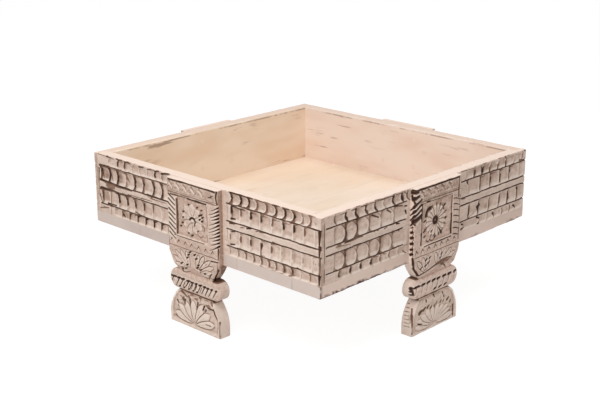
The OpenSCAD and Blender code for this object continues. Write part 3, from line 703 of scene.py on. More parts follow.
# Single marks on the legs, by the method that makes them, with the numbers that it takes
FRONT_LEG_MARKS = {
    "gouge": (
        (44, 16, 50, 12, 3, 1.4, 0.75, 0.2, -2), (51, 17, 57, 11, 2.6, 1.2, 0.65, 0.2, 2),
        (65, 3, 66, 24, 5.4, 1.8, 1, 0.2, -2), (-4, 99, 1, 96, 4.6, 2, 0.95, 0.3),
        (13, 87, 17, 84, 3.6, 1.8, 0.85, 0.4), (7, 71, 4.5, 80, 4.4, 2, 0.9, 0.5),
        (-3, 74, 2, 73, 2.4, 1, 0.6, 0.3), (47, 134.5, 66, 132, 3, 1.6, 0.9, 0.2),
        # the cut from 50, 172 is a painted shadow on the side face under the cup
        (64, 150, 48, 173, 6, 2.4, 0.95, 0.2, 3), (50, 172, 86, 173, 8, 0.5, 0.85, 0.2),
        # the cut from 48, 213 is a painted shadow on the foot's shoulder under the roll
        (48, 213, 86, 214, 7, 0.4, 0.7, 0.3), (47, 160, 37, 172, 3.4, 1.8, 0.9, 0.4),
        # the cut down at -66 is partly wax and partly painted shade where the leg's edge meets the board
        (-66, 112, -66, 134, 3, 1.4, 0.75, 0.3), (34, 228, 51, 228, 3.6, 2, 1, 0.1, -1),
        (50, 228, 62, 247, 3.8, 2, 1, 0.2, -2), (-40, 216, -22, 222, 5, 1.6, 0.75, 0.3),
        (-56, 267, -40, 271, 3, 1.6, 0.7, 0.4), (42, 262, 28, 262, 3, 1.6, 0.6, 0.5)),
    "gouges_at": (
        (((-10, 41), (12.5, 42), (24, 45), (-25, 57), (-25.5, 68), (-28, 79), (-32, 86), (-11, 95)),
         -1.6, 0.6, 1.8, -0.6, 4.2, 2.2, 0.95, 0.2),
        (((19, 55), (24, 53), (27, 57), (20, 62), (26, 64)), -1.5, 1.5, 2, -1, 5, 2.4, 1, 0.4),
        ([(x, 193) for x in (-25, -12, -4, 7, 20)], 0, 0, -6, 11, 2.4, 1.4, 0.7, 0.4),
        ([(x, 206) for x in (-41, -29, -16, -4, 6)], -1, 0, 2, -2, 4.2, 1.8, 0.85, 0.3),
        (((-62, 232), (-57, 226), (-66, 240)), -3, 2, 3, -3, 4, 1.6, 0.8, 0.3)),
    # painted highlights round the boss, beside the panel's left edge, along the ledge above it and between
    # the roll's slants
    "painted_highlight": ((-9, 66, -2, 61, 3, 1), (-2, 61, 7, 63, 3, 1), (-46, 36, -46, 104, 3),
            (-40, 27, 38, 27.5, 2.4, 0.7),
            *((x + 2, 192, x - 5, 205, 2.4, 0.6) for x in (-52, -32, -15, 2, 17, 32, 50))),
    "arc": ((26, 79, 5, -60, 120, 3, 1.6, 0.7), (20, 88, 8, 200, 350, 2.6, 1.5, 0.6),
            (-0.5, 72, 7.5, 10, 175, 5, 2.6, 1)),
    "level_line": ((30.5, -60, -12, 2.4, 1.5, 0.75, 4), (31, -14, 38, 4.4, 2.2, 1, 5),
                   # the line at 213 is a painted shadow under the roll
                   (106.5, -52, 30, 2.2, 1.2, 0.6, 7), (213, -52, 52, 3.4, 1.2, 0.75, 12)),
    "upright_line": ((-42, 36, 104, 6, 2, 0.75, 2), (39, 34, 101, 2.4, 1.4, 0.6, 3),
                     (66, 106, 127, 2.8, 1.2, 0.8, 9), (64, 133, 150, 2.4, 1.2, 0.5, 8),
                     (66.5, 246, 278, 2.6, 1.2, 0.8, 11)),
    # both stains are painted shade: under the roll, and on the side face under the curve of the cup
    "stain": ((0, 214, 60, 6, 0.6), (78, 150, 12, 20, 1)),
}
RIGHT_LEG_MARKS = {
    "gouge": (
        (12, 98, 0, 84, 6.5, 2.8, 1, 0.8), (21, 46, 4, 56, 5.5, 2.8, 1, 0.7),
        (17, 55, 11, 44, 3.6, 2.2, 0.95, 0.5), (10, 97, 18, 90, 3.4, 2, 0.9, 0.5),
        (-34, 30, -25, 30.5, 4.4, 1.8, 1, 0.2), (-78, 7, -60, 6, 9, 1.6, 1, 0.3),
        (-76, 14, -68, 26, 8, 1.6, 0.95, 0.3), (-74, 19, -57, 14, 10, 2.2, 1, 0.4),
        (-70, 60, -48, 52, 11, 2.6, 1, 0.1), (-74, 61, -66, 66, 6, 2.2, 0.9, 0.5),
        (-70, 129, -67, 150, 6, 2.4, 1, 0.1), (-67, 149, -53, 165, 6.5, 2.6, 1, 0.2),
        (-54, 165.5, -36, 163, 4.4, 2, 1, 0.4), (2, 156, -38, 164, 4, 1.8, 0.75, 0.4),
        (6, 156, 46, 154, 6.5, 1.6, 0.5, 0.5, 3), (22, 162, 33, 171, 3.6, 1.6, 0.7, 0.4),
        (-66, 186, -46, 186, 3.6, 2.2, 1, 0.1), (-68, 187, -64, 199, 7, 2.2, 1, 0.4),
        # these two cuts are painted shadows on the left side face, under the cup and on the foot's shoulder
        # under the roll
        (-48, 173, -84, 173, 2.4, 0.5, 0.75, 0.3), (-46, 213, -84, 213, 6, 0.4, 0.6, 0.3),
        (-47, 261, -36, 264, 4.6, 2, 0.9, 0.6), (40, 262, 53, 255, 3, 1.6, 0.8, 0.3)),
    "gouges_at": (
        (((-38, 65), (-38, 84), (-37, 94), (-18, 88), (24, 73), (-10, 97), (-6, 102)),
         -2, 1, 2, -1, 4.6, 2.2, 0.95, 0.3),
        ([(47, w) for w in (41, 52, 63, 74.5, 87, 98, 110)], 0, 0, 16, 4.5, 2.6, 1.7, 0.75, 0.2, 0.8),
        ([(-67, w) for w in (185, 192, 198)], 0, 0, -5, 1, 4.5, 2, 1, 0.6),
        ([(x, 204) for x in (-1, 14, 30)], -3, 0, 3, -2, 5.5, 2, 0.95, 0.3),
        (((-25, 222), (-1, 218), (25, 221), (29, 228)), 0, -1.5, 1, 2.5, 4.4, 2.2, 0.95, 0.4),
        ([(-72, 222 + 6.5 * n) for n in range(7)], 0, 0, -14, 1, 1.8, 0.8, 0.4, 0.2)),
    "arc": ((-22, 56, 12.5, 68, 198, 9, 3, 1), (-22, 56, 10.5, 75, 130, 6, 3, 1),
            (-27, 100, 6, 190, 350, 3, 1.6, 0.85), (-15, 101, 6, 200, 350, 2.6, 1.6, 0.8)),
    "level_line": ((2.8, -78, 60, 3.8, 1.2, 1, 14), (31, -46, 41, 2.2, 1.4, 0.6, 4),
                   # the line at 212 is a painted shadow under the roll
                   (112.5, -40, 42, 2.6, 1.3, 0.85, 5), (212, -60, 50, 3.6, 1.2, 0.8, 12)),
    "upright_line": (
        (61, 3, 42, 3.4, 1.6, 1, 15), (-47, 30, 64, 5.4, 2.4, 1, 2), (-47.5, 60, 88, 3.2, 2, 0.85, 16),
        (-47.5, 84, 109, 5.2, 2.4, 1, 17), (41, 33, 72, 2.6, 1.6, 0.7, 3), (41.5, 68, 108, 4.4, 2, 1, 18),
        (-72, 62, 124, 1.8, 0.9, 0.55, 23), (-65.5, 228, 262, 4.6, 2, 0.62, 11),
        (-66.5, 258, 275, 3, 1.6, 0.9, 19), (57.5, 252, 276, 4.6, 1.8, 0.85, 13),
        # the last line is partly wax and partly painted shade where the leg's edge meets the board
        (64.5, 38, 124, 2.4, 1, 0.7, 20)),
    # the stain at 18, 156 is painted shade in the hollow at the bottom of the cup
    "stain": ((18, 156, 32, 9, 1), (-70, 245, 6, 18, 0.85)),
}


def carve_leg_front(relief):
    """The carving of the front leg, and of the back one."""
    carve_top_band(relief, (-57, -37, -18, 3, 24), 0.8, 0.55)
    # sunk panel with a broad-lobed flower
    panel = window(relief.x, -42, 39, 1.5) * window(relief.w, 30, 104, 1.5)
    relief.cut(panel, 1.6, 0.04)
    relief.lay("soil", 0.14 * panel)
    for n, far in enumerate((29, 27, 30, 31, 28, 27, 29, 26, 28)):
        across, down = heading(40 * n + 12)
        relief.leaf(7 * across, 68 + 7 * down, far * across, 68 + far * down, 15, 1.7, 0.22, 0.66, 0.12)
    relief.fill(ease((9 - np.hypot(relief.x, relief.w - 70)) / 2), 0.1)
    # rope cuts at the left, with painted highlights on the ridges between them, and wedges at the right with
    # painted highlights beside them
    for n in range(9):
        w = 31 + 9.1 * n
        relief.gouge(-66, w - 1, -47, w + 10, 4.4, 2.4, (1, 0.85, 0.75)[n % 3], 0.4, -0.4)
        relief.painted_highlight(-63, w + 4.6, -47, w + 16.4, 3.6)
        relief.painted_highlight(-52, w + 7, -47, w + 10, 3)
    rng = np.random.default_rng(relief.seed + 30)
    for n in range(12):
        w = 31 + 6.5 * n
        reach, drop = rng.uniform(14, 25), rng.uniform(0.35, 0.55)
        relief.gouge(68, w, 58, w + 10 * drop, rng.uniform(3, 5.2), 2.4, 1, 0.6)
        dark = rng.uniform(0.5, 0.9)
        relief.gouge(62, w + 6 * drop, 67 - reach, w + reach * drop, 2.6, 1.5, dark, 0.6, 0.5)
        relief.painted_highlight(66, w + 3.4, 67 - reach, w + 3 + drop * reach, 2, rng.uniform(0.2, 0.8))
    carve_nick_row(relief, 117.5, (-58, -39, -21, -4, 15, 34, 52), 0.6)
    # two sprays of leaves on the cup
    carve_spray(relief, 7, (-7, 170),
                ((-20, 131), (-36, 131), (-51, 136), (-56, 148), (-50, 160), (-39, 170)),
                ((-13, 137), (-16, 143), (-17, 157), (-33, 158), (-33, 169), (-23, 166), (-9, 131)))
    carve_spray(relief, 8, (6, 168), ((14, 131), (29, 130), (45, 135), (54, 145), (50, 157), (39, 167)),
                ((8, 140), (13, 151), (11, 156), (20, 158), (30, 163), (4, 133)))
    carve_roll(relief, ((-66, -50), (-46, -38), (-35, -27), (-20, -12), (-9, -2), (3, 8), (13, 20), (25, 31),
                        (34, 40), (45, 49), (57, 60)), 189, 4.8, 17, 9, 0.75)
    carve_palmette(relief, (-3, 272), (166, 141, 118, 92, 66, 41, 16), (57, 50), 15, 0.42)
    # hollows between the tips of the palmette's leaves
    for x, w, down in ((-50, 236, 5), (-34, 228, 12), (-29, 229, 8), (-15.5, 227, 14), (7, 226, 13),
                       (25, 228, 9), (29, 234, 5), (-47, 246, 3)):
        relief.gouge(x, w, x - (x + 3) * down / 60, w + down, 5, 2.6, 0.9, 0.5)
    relief.marks(FRONT_LEG_MARKS)
    # the right side face: painted shade, with a little dark, over the plate, and painted light on the roll
    # and foot
    side_face = ease((relief.x - leg_half_width(Z_RIM - relief.w)) / 1.5)
    on_plate = relief.w < 172
    relief.lay("soil", side_face * np.where(on_plate, 1.0, 0.1))
    relief.lay("dark", 0.25 * side_face * on_plate)
    relief.lay("light", 0.5 * side_face * (relief.w > 176))


def carve_leg_right(relief):
    """The carving of the right leg, and of the left one."""
    carve_top_band(relief, (-47, -28, -8, 12, 33), 0.3, 0.8)
    relief.cut(window(relief.x, -47, 41, 1.5) * window(relief.w, 32, 110, 1.5), 1.6, 0.06)
    # many-petalled flower round a black boss
    x0, w0 = -6.5, 70
    for n in range(16):
        angle = 22.5 * n + 8
        across, down = heading(angle)
        relief.leaf(x0 + 10 * across, w0 + 10 * down, x0 + 30 * across, w0 + 30 * down,
                    9, 1.6, 0.35, 0.7, 0.1)
        if n not in (5, 6, 7) and n % 4 != 1:
            turned = heading(angle + 11.46)
            x, w = x0 + 33 * turned[0], w0 + 32 * turned[1]
            relief.gouge(x, w, x - 5 * across, w - 5 * down, 3.6, 2, 0.9, 0.5)
    from_boss = np.hypot(relief.x - x0, relief.w - w0)
    relief.cut(ease((9.5 - from_boss) / 2), 3, 1)
    relief.fill(ease((2.8 - from_boss) / 1.4), 1.6, 0.5)
    # black wedges across the left arris, and blobs below them
    for n in range(4):
        w = 31 + 9.5 * n
        relief.gouge(-67, w, -50, w - 9, 6.2, 2.6, 1, 0.1)
        relief.gouge(-66, w - 1, -79, w + 9, 6.4, 2.4, 1, 0.45)
    for w, size in ((71, 3), (80, 6.5), (90, 7), (101, 6.5), (112, 6), (121, 6.5)):
        relief.gouge(-77, w + 1.5, -71, w - 0.5, size, 2.4, 1, 0.2)
        relief.gouge(-73, w - 3, -70, w + 4, 0.5 * size, 1.6, 0.9, 0.5)
    carve_nick_row(relief, 119, (-61, -43, -25, -6, 13, 32, 51), 0.95)
    carve_spray(relief, 7, (-30, 168), ((-58, 136), (-42, 132), (-26, 131)),
                ((-30, 139), (-20, 138), (-31, 150), (-24, 146), (-45, 152)))
    carve_spray(relief, 8, (4, 166), ((-4, 132), (12, 131), (29, 131), (46, 135), (56, 144)),
                ((12, 146), (16, 139)))
    carve_roll(relief, ((-60, -51), (-41, -33), (-25, -18), (-10, -2), (5, 12), (22, 30), (38, 46), (56, 63)),
               185, 6.4, 15, 6, 0.4)
    carve_palmette(relief, (0, 274), (170, 152, 134, 116, 98, 80, 62, 44, 26, 10), (56, 38), 12, 0.12)
    for x, w, size in ((-40, 239, 10.5), (-29, 236, 8), (-18, 234, 7), (-10, 238, 5), (1, 238, 4),
                       (7, 234, 4), (20, 235, 5), (28, 236, 4), (42, 236, 7), (50, 243, 5)):
        relief.gouge(x - 0.4 * size, w + 1.5, x + 0.3 * size, w - 2, size, 2.2, 0.85, 0.4)
    relief.marks(RIGHT_LEG_MARKS)
    relief.lay("soil", 0.15 * ease((128 - relief.w) / 6) * (np.abs(relief.x) < PLATE_W / 2))
    # the left side face is painted lighter as painted light: strongly down to the roll, less on the foot
    left_face = ease((-relief.x - leg_half_width(Z_RIM - relief.w)) / 1.5)
    relief.lay("light", left_face * np.where(relief.w < 213, 0.85, 0.4))


LEG_CARVING = {"front": (carve_leg_front, 700), "right": (carve_leg_right, 730),
               "back": (carve_leg_front, 760), "left": (carve_leg_right, 790)}


def make_leg(side, material):
    """A carved leg: a plank that laps over the tray and thickens under it."""
    carve, seed = LEG_CARVING[side]
    z = leg_stations()[:, None]
    half = leg_half_width(z)
    near_edge = np.array([0.98, 0.993, 0.998])
    s = np.unique(np.concatenate((np.linspace(-1, 1, 160), near_edge, -near_edge)))
    x = half * s
    thick = np.where(z > Z_LAP + 0.01, PLATE_T, LEG_T)
    # the carving is laid out on the unfolded leg: x runs on from the face round onto both side faces
    run = np.linspace(0, 1, 18)[1:-1]
    turned = half + thick * run
    relief = Relief(np.concatenate((-turned[:, ::-1], x, turned), 1), Z_RIM - z, seed)
    carve(relief)
    relief.depth = relief.depth + 0.3 + 0.3 * noise(relief.x, relief.w, 7, seed + 22)
    relief.depth = relief.depth + 0.12 * noise(relief.x, relief.w, 3, seed + 24)
    left, face, right = np.split(relief.depth, (len(run), -len(run)), 1)
    worn = np.clip(1.6 + 1.0 * noise(z, 0, 21, seed + 20) + 0.6 * noise(z, 0, 5, seed + 21), 0.6, 3)
    face_y = leg_fall(x, z, worn) + face + 0.12 + arris(Z_RIM - z, 1.2) + arris(z, 1.5)
    # a cut that crosses an arris notches it
    notch = 0.55 * ease((np.abs(s) - 0.94) / 0.06)
    face_x = x - np.sign(s) * notch * np.where(s > 0, face[:, -1:], face[:, :1])
    right_y = face_y[:, -1:] + (thick - face_y[:, -1:]) * run
    left_y = (face_y[:, :1] + (thick - face_y[:, :1]) * run)[:, ::-1]
    back_x = half * np.linspace(1, -1, 9)
    ring_x = np.concatenate((-half + 0.55 * left, face_x, half - 0.55 * right, back_x), 1)
    ring_y = np.concatenate((left_y, face_y, right_y, thick + 0 * back_x), 1)
    sections = np.stack((ring_x, ring_y - PLATE_T, z + 0 * ring_x), -1)
    # the foot is painted lighter, and the roll a little, as painted light
    painted_light = 0.35 * ease((Z_ROLL - z) / 8) + 0.15 * ease((Z_CUP - z) / 4)
    values = coats(relief, seed + 25, back_x.shape[1], 0.25, painted_light, 1.2)
    values["inside"] = 0.5 * ease((z - Z_RIM + 1.1) / 0.6) + 0 * ring_x
    values["below"] = 0 * ring_x
    stand_in(loft(side + "_leg_carved", side, sections, values), side + "_leg", material)


def make_plank(node, material):
    """A floor plank with worn edges; its grain runs from front to back."""
    lo, hi = corners(node)
    seed = 900 + round(lo.x)
    ends = np.array([0, 0.3, 0.8, 1.4])
    y = np.concatenate((lo.y + ends, np.arange(lo.y + 4, hi.y - 3, 4.0), hi.y - ends[::-1]))[:, None]
    worn = np.clip(2.2 + 1.4 * noise(y, 0, 37, seed) + 1.0 * noise(y, 0, 8, seed + 1), 0.6, 4)
    low_left, low_right = [worn if abs(x) > HALF - 1 else 0.4 + 0 * y for x in (lo.x, hi.x)]
    top_r = 0.25 + 0 * y
    arrises = ((lo.x, lo.z, low_left), (hi.x, lo.z, low_right), (hi.x, hi.z, top_r), (lo.x, hi.z, top_r))
    near = np.array([0.8, 2.4, 6.0])
    xs, zs = [], []
    for n, (cx, cz, radius) in enumerate(arrises):
        next_x, next_z, next_radius = arrises[(n + 1) % 4]
        a = np.linspace(0, math.pi / 2, 5) + math.radians(180 + 90 * n)
        span = math.hypot(next_x - cx, next_z - cz)
        along = np.concatenate((radius + near, span - next_radius - near[::-1]), 1) / span
        xs += [cx + radius * (np.cos(a) + (1 if cx == lo.x else -1)), cx + (next_x - cx) * along]
        zs += [cz + radius * (np.sin(a) + (1 if cz == lo.z else -1)), cz + (next_z - cz) * along]
    xs, zs = np.concatenate(xs, 1)[:, ::-1], np.concatenate(zs, 1)[:, ::-1]
    height = zs - lo.z
    inset = 0.5 * arris(y - lo.y, 1.2) + 0.5 * arris(hi.y - y, 1.2)
    zs = zs + np.where(height < (hi.z - lo.z) / 2, inset, 0)
    # wax along the foot of the outer edges, in one long stretch at the right, and in the joints
    at_right = hi.x > HALF - 1
    stretch = ease((y + 285) / 12) * ease((-120 - y) / 20) * (1.1 + 0.3 * noise(y, 0, 12, seed + 3))
    patches = np.maximum(0.6 * ease(noise(y, 0, 45, seed + 2) * 2 + 0.5), stretch * at_right)
    edge_wax = ease((4.5 + 2.5 * noise(y, 0, 7, seed + 4) - height) / 2) * patches * (HALF - np.abs(xs) < 5)
    joint = (np.minimum(np.abs(xs - lo.x), np.abs(xs - hi.x)) < 0.3) & (np.abs(xs) < HALF - 1)
    joint_wax = joint * np.where(height > hi.z - lo.z - 3, 0.12, 0.7 if at_right else 0.2)
    corner_wax = 0.9 * ease((xs - HALF + 5) / 3) * ease((-HALF + 5 - y) / 3) * (height > 1)
    dark = np.maximum(np.maximum(edge_wax, joint_wax), corner_wax)
    # the sections run along X in the side's frame, so the plank is drawn on the right side
    sections = np.stack((y + 0 * xs, HALF - xs, zs), -1)
    plank = loft(node + "_board", "right", sections, {"dark": dark}, (0.3, 0.8, 1.8))
    stand_in(plank, node, material)


def linear(*colour):
    """A colour written from 0 to 255 on screen, as the shader needs it."""
    return tuple(c / 12.92 if c <= 0.04045 else ((c + 0.055) / 1.055) ** 2.4
                 for c in np.array(colour) / 255) + (1.0,)


class Nodes:
    """Short ways to make and join the nodes of a material or a world."""

    def __init__(self, owner):
        owner.use_nodes = True
        self.tree = owner.node_tree

    def node(self, kind, values=(), **settings):
        """Makes a node with these inputs and settings, and returns its outputs."""
        made = self.tree.nodes.new("ShaderNode" + kind)
        for key, value in settings.items():
            setattr(made, key, value)
        for key, value in dict(values).items():
            self.feed(made.inputs[key], value)
        return made.outputs

    def feed(self, socket, value):
        if isinstance(value, bpy.types.NodeSocket):
            self.tree.links.new(value, socket)
        else:
            socket.default_value = value

    def math(self, kind, a, b=0.0, clamp=False):
        return self.node("Math", {0: a, 1: b}, operation=kind, use_clamp=clamp)[0]

    def times(self, a, b, clamp=False):
        return self.math("MULTIPLY", a, b, clamp)


class Shader(Nodes):
    """A material, with short ways to make its patterns and colours."""

    def __init__(self, name, roughness):
        self.material = bpy.data.materials.new(name)
        super().__init__(self.material)
        self.surface = self.tree.nodes["Principled BSDF"].inputs
        self.surface["Roughness"].default_value = roughness
        self.surface["Specular IOR Level"].default_value = 0.3

    def attribute(self, name, output="Fac"):
        return self.node("Attribute", attribute_name=name)[output]

    def noise(self, vector, scale, stretch=(1, 1, 1), detail=4.0, rough=0.55):
        mapped = self.node("Mapping", {"Vector": vector, "Scale": stretch})[0]
        values = {"Vector": mapped, "Scale": scale, "Detail": detail, "Roughness": rough}
        return self.node("TexNoise", values)["Fac"]

    def step(self, factor, low, high):
        """0 below low and 1 above high."""
        values = {"Value": factor, "From Min": low, "From Max": high}
        return self.node("MapRange", values, interpolation_type="SMOOTHSTEP")[0]

    def until(self, factor, low, high):
        """1 below low and 0 above high."""
        return self.math("SUBTRACT", 1.0, self.step(factor, low, high))

    def mix(self, factor, a, b):
        return self.node("Mix", {0: factor, 6: a, 7: b}, data_type="RGBA")[2]

    def tint(self, base, colour, where, amount):
        """Lays a colour over base where it says, as strongly as amount."""
        return self.mix(self.times(where, amount), base, colour)

    def outermost(self, where):
        """How far a place lies from the middle of the tray, across or along it."""
        apart = self.node("SeparateXYZ", {0: where})
        return self.math("MAXIMUM", self.math("ABSOLUTE", apart["X"]), self.math("ABSOLUTE", apart["Y"]))

    def finish(self, colour, height, strength=0.3, distance=0.0006):
        self.feed(self.surface["Base Color"], colour)
        bump = self.node("Bump", {"Height": height, "Strength": strength, "Distance": distance})
        self.feed(self.surface["Normal"], bump[0])
        return self.material


PALE = linear(236, 213, 198)
DUSTY = linear(213, 188, 172)
TAN = linear(170, 138, 118)
BROWN = linear(106, 75, 58)
BLACK = linear(50, 28, 20)
CREAM = linear(248, 230, 211)
WARM = linear(240, 216, 191)
PINK_CREAM = linear(243, 226, 214)
PINK_WARM = linear(236, 211, 195)
RIM = linear(246, 224, 208)
FAR_RIM = linear(238, 212, 194)
LIGHT = linear(246, 229, 216)


def carved_paint(name, pale=PALE, dusty=DUSTY, cream=CREAM, warm=WARM, flecks=0.3, top=RIM):
    """Limewash rubbed thin over wood, with dark wax left in the cuts and some painted shadows, brown soil and
    painted shade, and paler wear and painted highlights; inside, a coat from cream to warm.
    """
    s = Shader(name, 0.72)
    grain = s.attribute("grain", "Vector")
    dark, wear, soil, inside, below = [s.attribute(key) for key in "dark wear soil inside below".split()]
    broad = s.noise(grain, 9, (1, 2.5, 2.5), 3)
    streaks = s.noise(grain, 90, (0.12, 1, 1), 5, 0.65)
    speck = s.noise(grain, 420, (0.6, 1, 1), 3, 0.6)
    cloud = s.noise(grain, 38, (1, 1, 1), 5, 0.6)
    fleck = s.noise(grain, 240, (0.7, 1, 1), 4, 0.65)
    light_brown = s.mix(0.5, TAN, BROWN)
    wash = s.mix(s.step(broad, 0.35, 0.7), pale, dusty)
    wash = s.tint(wash, TAN, s.step(streaks, 0.5, 0.75), 0.45)
    # brown soil over the wash, with painted shade in hollows and on shaded faces
    wash = s.tint(wash, TAN, s.times(soil, s.math("ADD", 0.35, s.step(cloud, 0.35, 0.65)), True), 0.8)
    wash = s.tint(wash, TAN, s.step(fleck, 0.5, 0.7), 1.6 * flecks)
    wash = s.tint(wash, LIGHT, s.until(fleck, 0.3, 0.47), flecks)
    # paler where worn, and where painted highlights and painted light lie
    wash = s.tint(wash, LIGHT, wear, 0.85)
    # inner faces and the rim carry a thicker coat with few marks; inside, its warmth is painted light, the
    # warm light bounced round the tray
    marks = s.noise(grain, 30, (0.35, 1.6, 1.6), 4, 0.5)
    coat = s.mix(s.step(s.noise(grain, 6, (1, 3, 3), 2), 0.35, 0.7), cream, warm)
    coat = s.tint(coat, TAN, s.step(marks, 0.62, 0.75), 0.35)
    scratches = s.step(s.noise(grain, 48, (0.16, 1, 2.2), 4, 0.55), 0.59, 0.65)
    groups = s.step(s.noise(grain, 8, (1, 1, 1.6), 2), 0.48, 0.58)
    coat = s.tint(coat, light_brown, s.times(scratches, groups), 0.65)
    edge = s.times(s.step(below, 0.015, 0.03), s.until(below, 0.035, 0.06))
    edge = s.times(edge, s.step(s.noise(grain, 13, (1, 0.1, 0.1), 5, 0.7), 0.45, 0.58))
    coat = s.tint(coat, s.mix(0.35, TAN, BROWN), edge, 0.7)
    rim = s.tint(top, DUSTY, s.step(marks, 0.66, 0.8), 0.3)
    colour = s.mix(s.step(inside, 0.1, 0.4), wash, s.mix(s.step(inside, 0.6, 0.9), rim, coat))
    wobble = s.times(s.math("SUBTRACT", cloud, 0.5), 0.9)
    grit = s.times(s.math("SUBTRACT", speck, 0.5), 0.12)
    # wax turns the colour brown and black, and so do the painted shadows laid with it
    amount = s.math("ADD", s.times(dark, s.math("ADD", 1.0, wobble)), grit, True)
    colour = s.mix(s.step(amount, 0.12, 0.5), colour, light_brown)
    colour = s.mix(s.step(amount, 0.4, 0.95), colour, s.mix(s.step(amount, 0.7, 1.0), BROWN, BLACK))
    return s.finish(colour, s.math("ADD", s.times(streaks, 0.6), s.times(speck, 0.4)))


def floor_paint():
    """Cream wash on the floor planks, pinker on their outer edges, and browner beside the walls as painted
    shade.
    """
    s = Shader("floor_paint", 0.68)
    grain = s.attribute("grain", "Vector")
    streaks = s.noise(grain, 60, (0.2, 1, 1), 5, 0.6)
    broad = s.step(s.noise(grain, 5, (1, 2, 2), 3), 0.35, 0.7)
    marks = s.noise(grain, 26, (0.25, 1.5, 1.5), 4, 0.5)
    facing = s.node("SeparateXYZ", {0: s.node("NewGeometry")["Normal"]})
    end_grain = s.step(s.math("ABSOLUTE", facing["Y"]), 0.5, 0.9)
    outside = s.mix(broad, s.mix(end_grain, linear(238, 214, 200), linear(220, 203, 193)),
                    s.mix(end_grain, linear(226, 200, 186), linear(211, 193, 184)))
    inside = s.mix(broad, linear(247, 229, 211), linear(242, 220, 196))
    far = s.outermost(s.node("TexCoord")["Object"])
    # painted shade on the floor beside the walls
    painted_wall_shade = s.step(far, (HALF - BOARD_T - 45) * MM, (HALF - BOARD_T) * MM)
    colour = s.mix(s.step(facing["Z"], 0.5, 0.9), outside, s.tint(inside, TAN, painted_wall_shade, 0.14))
    colour = s.tint(colour, TAN, s.step(streaks, 0.5, 0.8), 0.09)
    colour = s.tint(colour, TAN, s.step(marks, 0.66, 0.78), 0.3)
    cloud = s.noise(grain, 60, (1, 1, 1), 5, 0.6)
    colour = s.tint(colour, s.mix(0.4, BROWN, BLACK), s.attribute("dark"), s.step(cloud, 0.3, 0.55))
    return s.finish(colour, streaks, 0.25)


def plug_paint():
    """The wash over the end grain of the wooden plugs."""
    s = Shader("plug_paint", 0.7)
    where = s.node("TexCoord")["Object"]
    fine = s.noise(where, 900)
    apart = s.node("SeparateXYZ", {0: where})
    # pinker on the right and back walls, as painted light matching those walls' coats
    pinker = s.step(s.math("MAXIMUM", apart["X"], apart["Y"]), 0.2, 0.25)
    blotch = s.step(fine, 0.3, 0.75)
    colour = s.mix(pinker, s.mix(blotch, CREAM, WARM), s.mix(blotch, PINK_CREAM, PINK_WARM))
    return s.finish(colour, fine, 0.3, 0.0003)


def steel(name, painted=False):
    """Dull wire steel with faint drawn lines and rust."""
    s = Shader(name, 0.42)
    s.surface["Metallic"].default_value = 1.0
    where = s.node("TexCoord")["Object"]
    drawn = s.noise(where, 1500, (1, 1, 0.05), 3)
    rust = s.noise(where, 260, (1, 1, 1), 5)
    colour = s.mix(s.step(drawn, 0.3, 0.7), linear(176, 174, 170), linear(150, 146, 140))
    colour = s.tint(colour, linear(120, 80, 56), s.step(rust, 0.58, 0.75), 0.6)
    if painted:
        # the limewash runs over the heads, which lie flush with the tray's outer faces
        head = s.step(s.outermost(where), (HALF - 0.6) * MM, (HALF - 0.4) * MM)
        colour = s.mix(head, colour, s.mix(s.step(rust, 0.35, 0.65), PALE, DUSTY))
        s.feed(s.surface["Metallic"], s.math("SUBTRACT", 1.0, head))
        s.feed(s.surface["Roughness"], s.math("ADD", 0.42, s.times(head, 0.3)))
    return s.finish(colour, drawn, 0.2, 0.0002)


def paint_node(node, material):
    """A better finish on a CAD node that stays."""
    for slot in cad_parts[node].material_slots:
        slot.material = material


def camera_ray(nodes):
    """1 for what the camera sees by itself or in gloss and glass, 0 for light on the object."""
    path = nodes.node("LightPath")
    seen = nodes.math("MAXIMUM", path["Is Camera Ray"], path["Is Glossy Ray"])
    return nodes.math("MAXIMUM", seen, path["Is Transmission Ray"])


def make_stage():
    """A pale floor that shows white and keeps the table's shadow."""
    bpy.ops.mesh.primitive_circle_add(vertices=96, radius=9, fill_type="NGON")
    floor = bpy.context.object
    floor.name = "studio_floor"
    floor.location.z = -0.0003
    material = bpy.data.materials.new("studio_floor")
    nodes = Nodes(material)
    nodes.tree.nodes.clear()
    plain = nodes.node("BsdfDiffuse", {"Color": (0.8, 0.79, 0.78, 1)})
    glow = nodes.node("Emission", {"Strength": 1.16})
    both = nodes.node("MixShader", {0: nodes.times(camera_ray(nodes), 0.8), 1: plain[0], 2: glow[0]})
    nodes.node("OutputMaterial", {0: both[0]})
    floor.data.materials.append(material)


def make_world(ambient):
    """White behind the object, and a soft even light from all round."""
    world = bpy.data.worlds.new("studio")
    bpy.context.scene.world = world
    nodes = Nodes(world)
    background = nodes.tree.nodes["Background"].inputs
    background["Color"].default_value = (1, 1, 1, 1)
    strength = nodes.node("MapRange", {"Value": camera_ray(nodes), "To Min": ambient, "To Max": 1.0})
    nodes.feed(background["Strength"], strength[0])


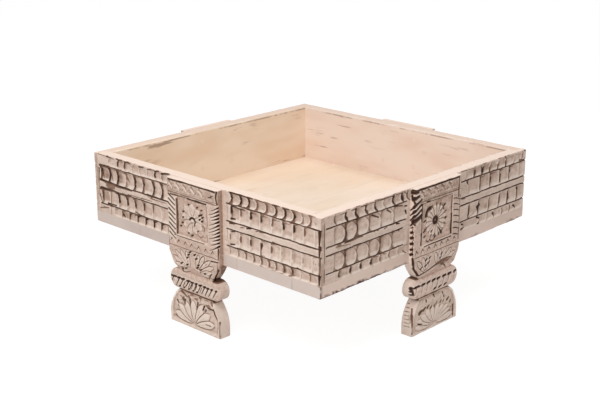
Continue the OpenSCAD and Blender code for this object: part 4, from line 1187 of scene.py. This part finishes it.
def make_lamp(name, where, size, power):
    """A square soft box that faces the table."""
    lamp = bpy.data.lights.new(name, "AREA")
    lamp.shape = "SQUARE"
    lamp.size = size
    lamp.energy = power
    obj = add_object(name, lamp)
    obj.location = where
    obj.rotation_euler = (Vector((0, 0, 0.2)) - Vector(where)).to_track_quat("-Z", "Y").to_euler()


def make_camera():
    """The photograph's camera: 600 by 400 pixels, looking down at the near corner."""
    azimuth, elevation, distance = math.radians(43.46), math.radians(17.46), 1914.3
    target = Vector((205.7, -249.1, Z_RIM))
    focal_px = 1132.5
    camera = bpy.data.cameras.new("camera")
    camera.sensor_width = 36
    camera.lens = focal_px / 600 * camera.sensor_width
    level = math.cos(elevation)
    back = Vector((math.sin(azimuth) * level, -math.cos(azimuth) * level, math.sin(elevation)))
    right = Vector((0, 0, 1)).cross(back).normalized()
    turn = Matrix((right, back.cross(right), back)).transposed().to_4x4()
    obj = add_object("camera", camera)
    obj.matrix_world = Matrix.Translation((target + distance * back) * MM) @ turn
    bpy.context.scene.camera = obj


make_camera()
make_stage()
make_world(0.4)
make_lamp("key", (0.45, -1.45, 2.5), 1.5, 32)
make_lamp("top", (0.1, 0.4, 2.8), 2.4, 18)
make_lamp("front", (1.2, -2.2, 0.8), 1.6, 8)

# the inner coats are pinker on the right and back boards and yellower on the front and left, as painted light
# on the walls
board_paints = {"front": carved_paint("front_board_paint"),
                "right": carved_paint("right_board_paint", cream=PINK_CREAM, warm=PINK_WARM),
                "back": carved_paint("back_board_paint", cream=PINK_CREAM, warm=PINK_WARM, top=FAR_RIM),
                "left": carved_paint("left_board_paint", top=FAR_RIM)}
leg_paint = carved_paint("leg_paint", linear(226, 199, 183), linear(202, 174, 158), flecks=0.5)
side_leg_paint = carved_paint("side_leg_paint", linear(236, 208, 193), linear(213, 184, 169), flecks=0.5)
for side in SIDES:
    make_board(side, board_paints[side])
    make_leg(side, side_leg_paint if side in ("right", "left") else leg_paint)
planks = floor_paint()
for node in ("floor_plank_1", "floor_plank_2", "floor_plank_3", "floor_plank_4", "floor_filler"):
    make_plank(node, planks)
paint_node("screw_plugs", plug_paint())
wire = steel("nail_steel")
paint_node("leg_screws", wire)
paint_node("floor_nails", wire)
paint_node("corner_brads", steel("painted_brads", True))

bpy.context.scene.view_settings.view_transform = "Standard"
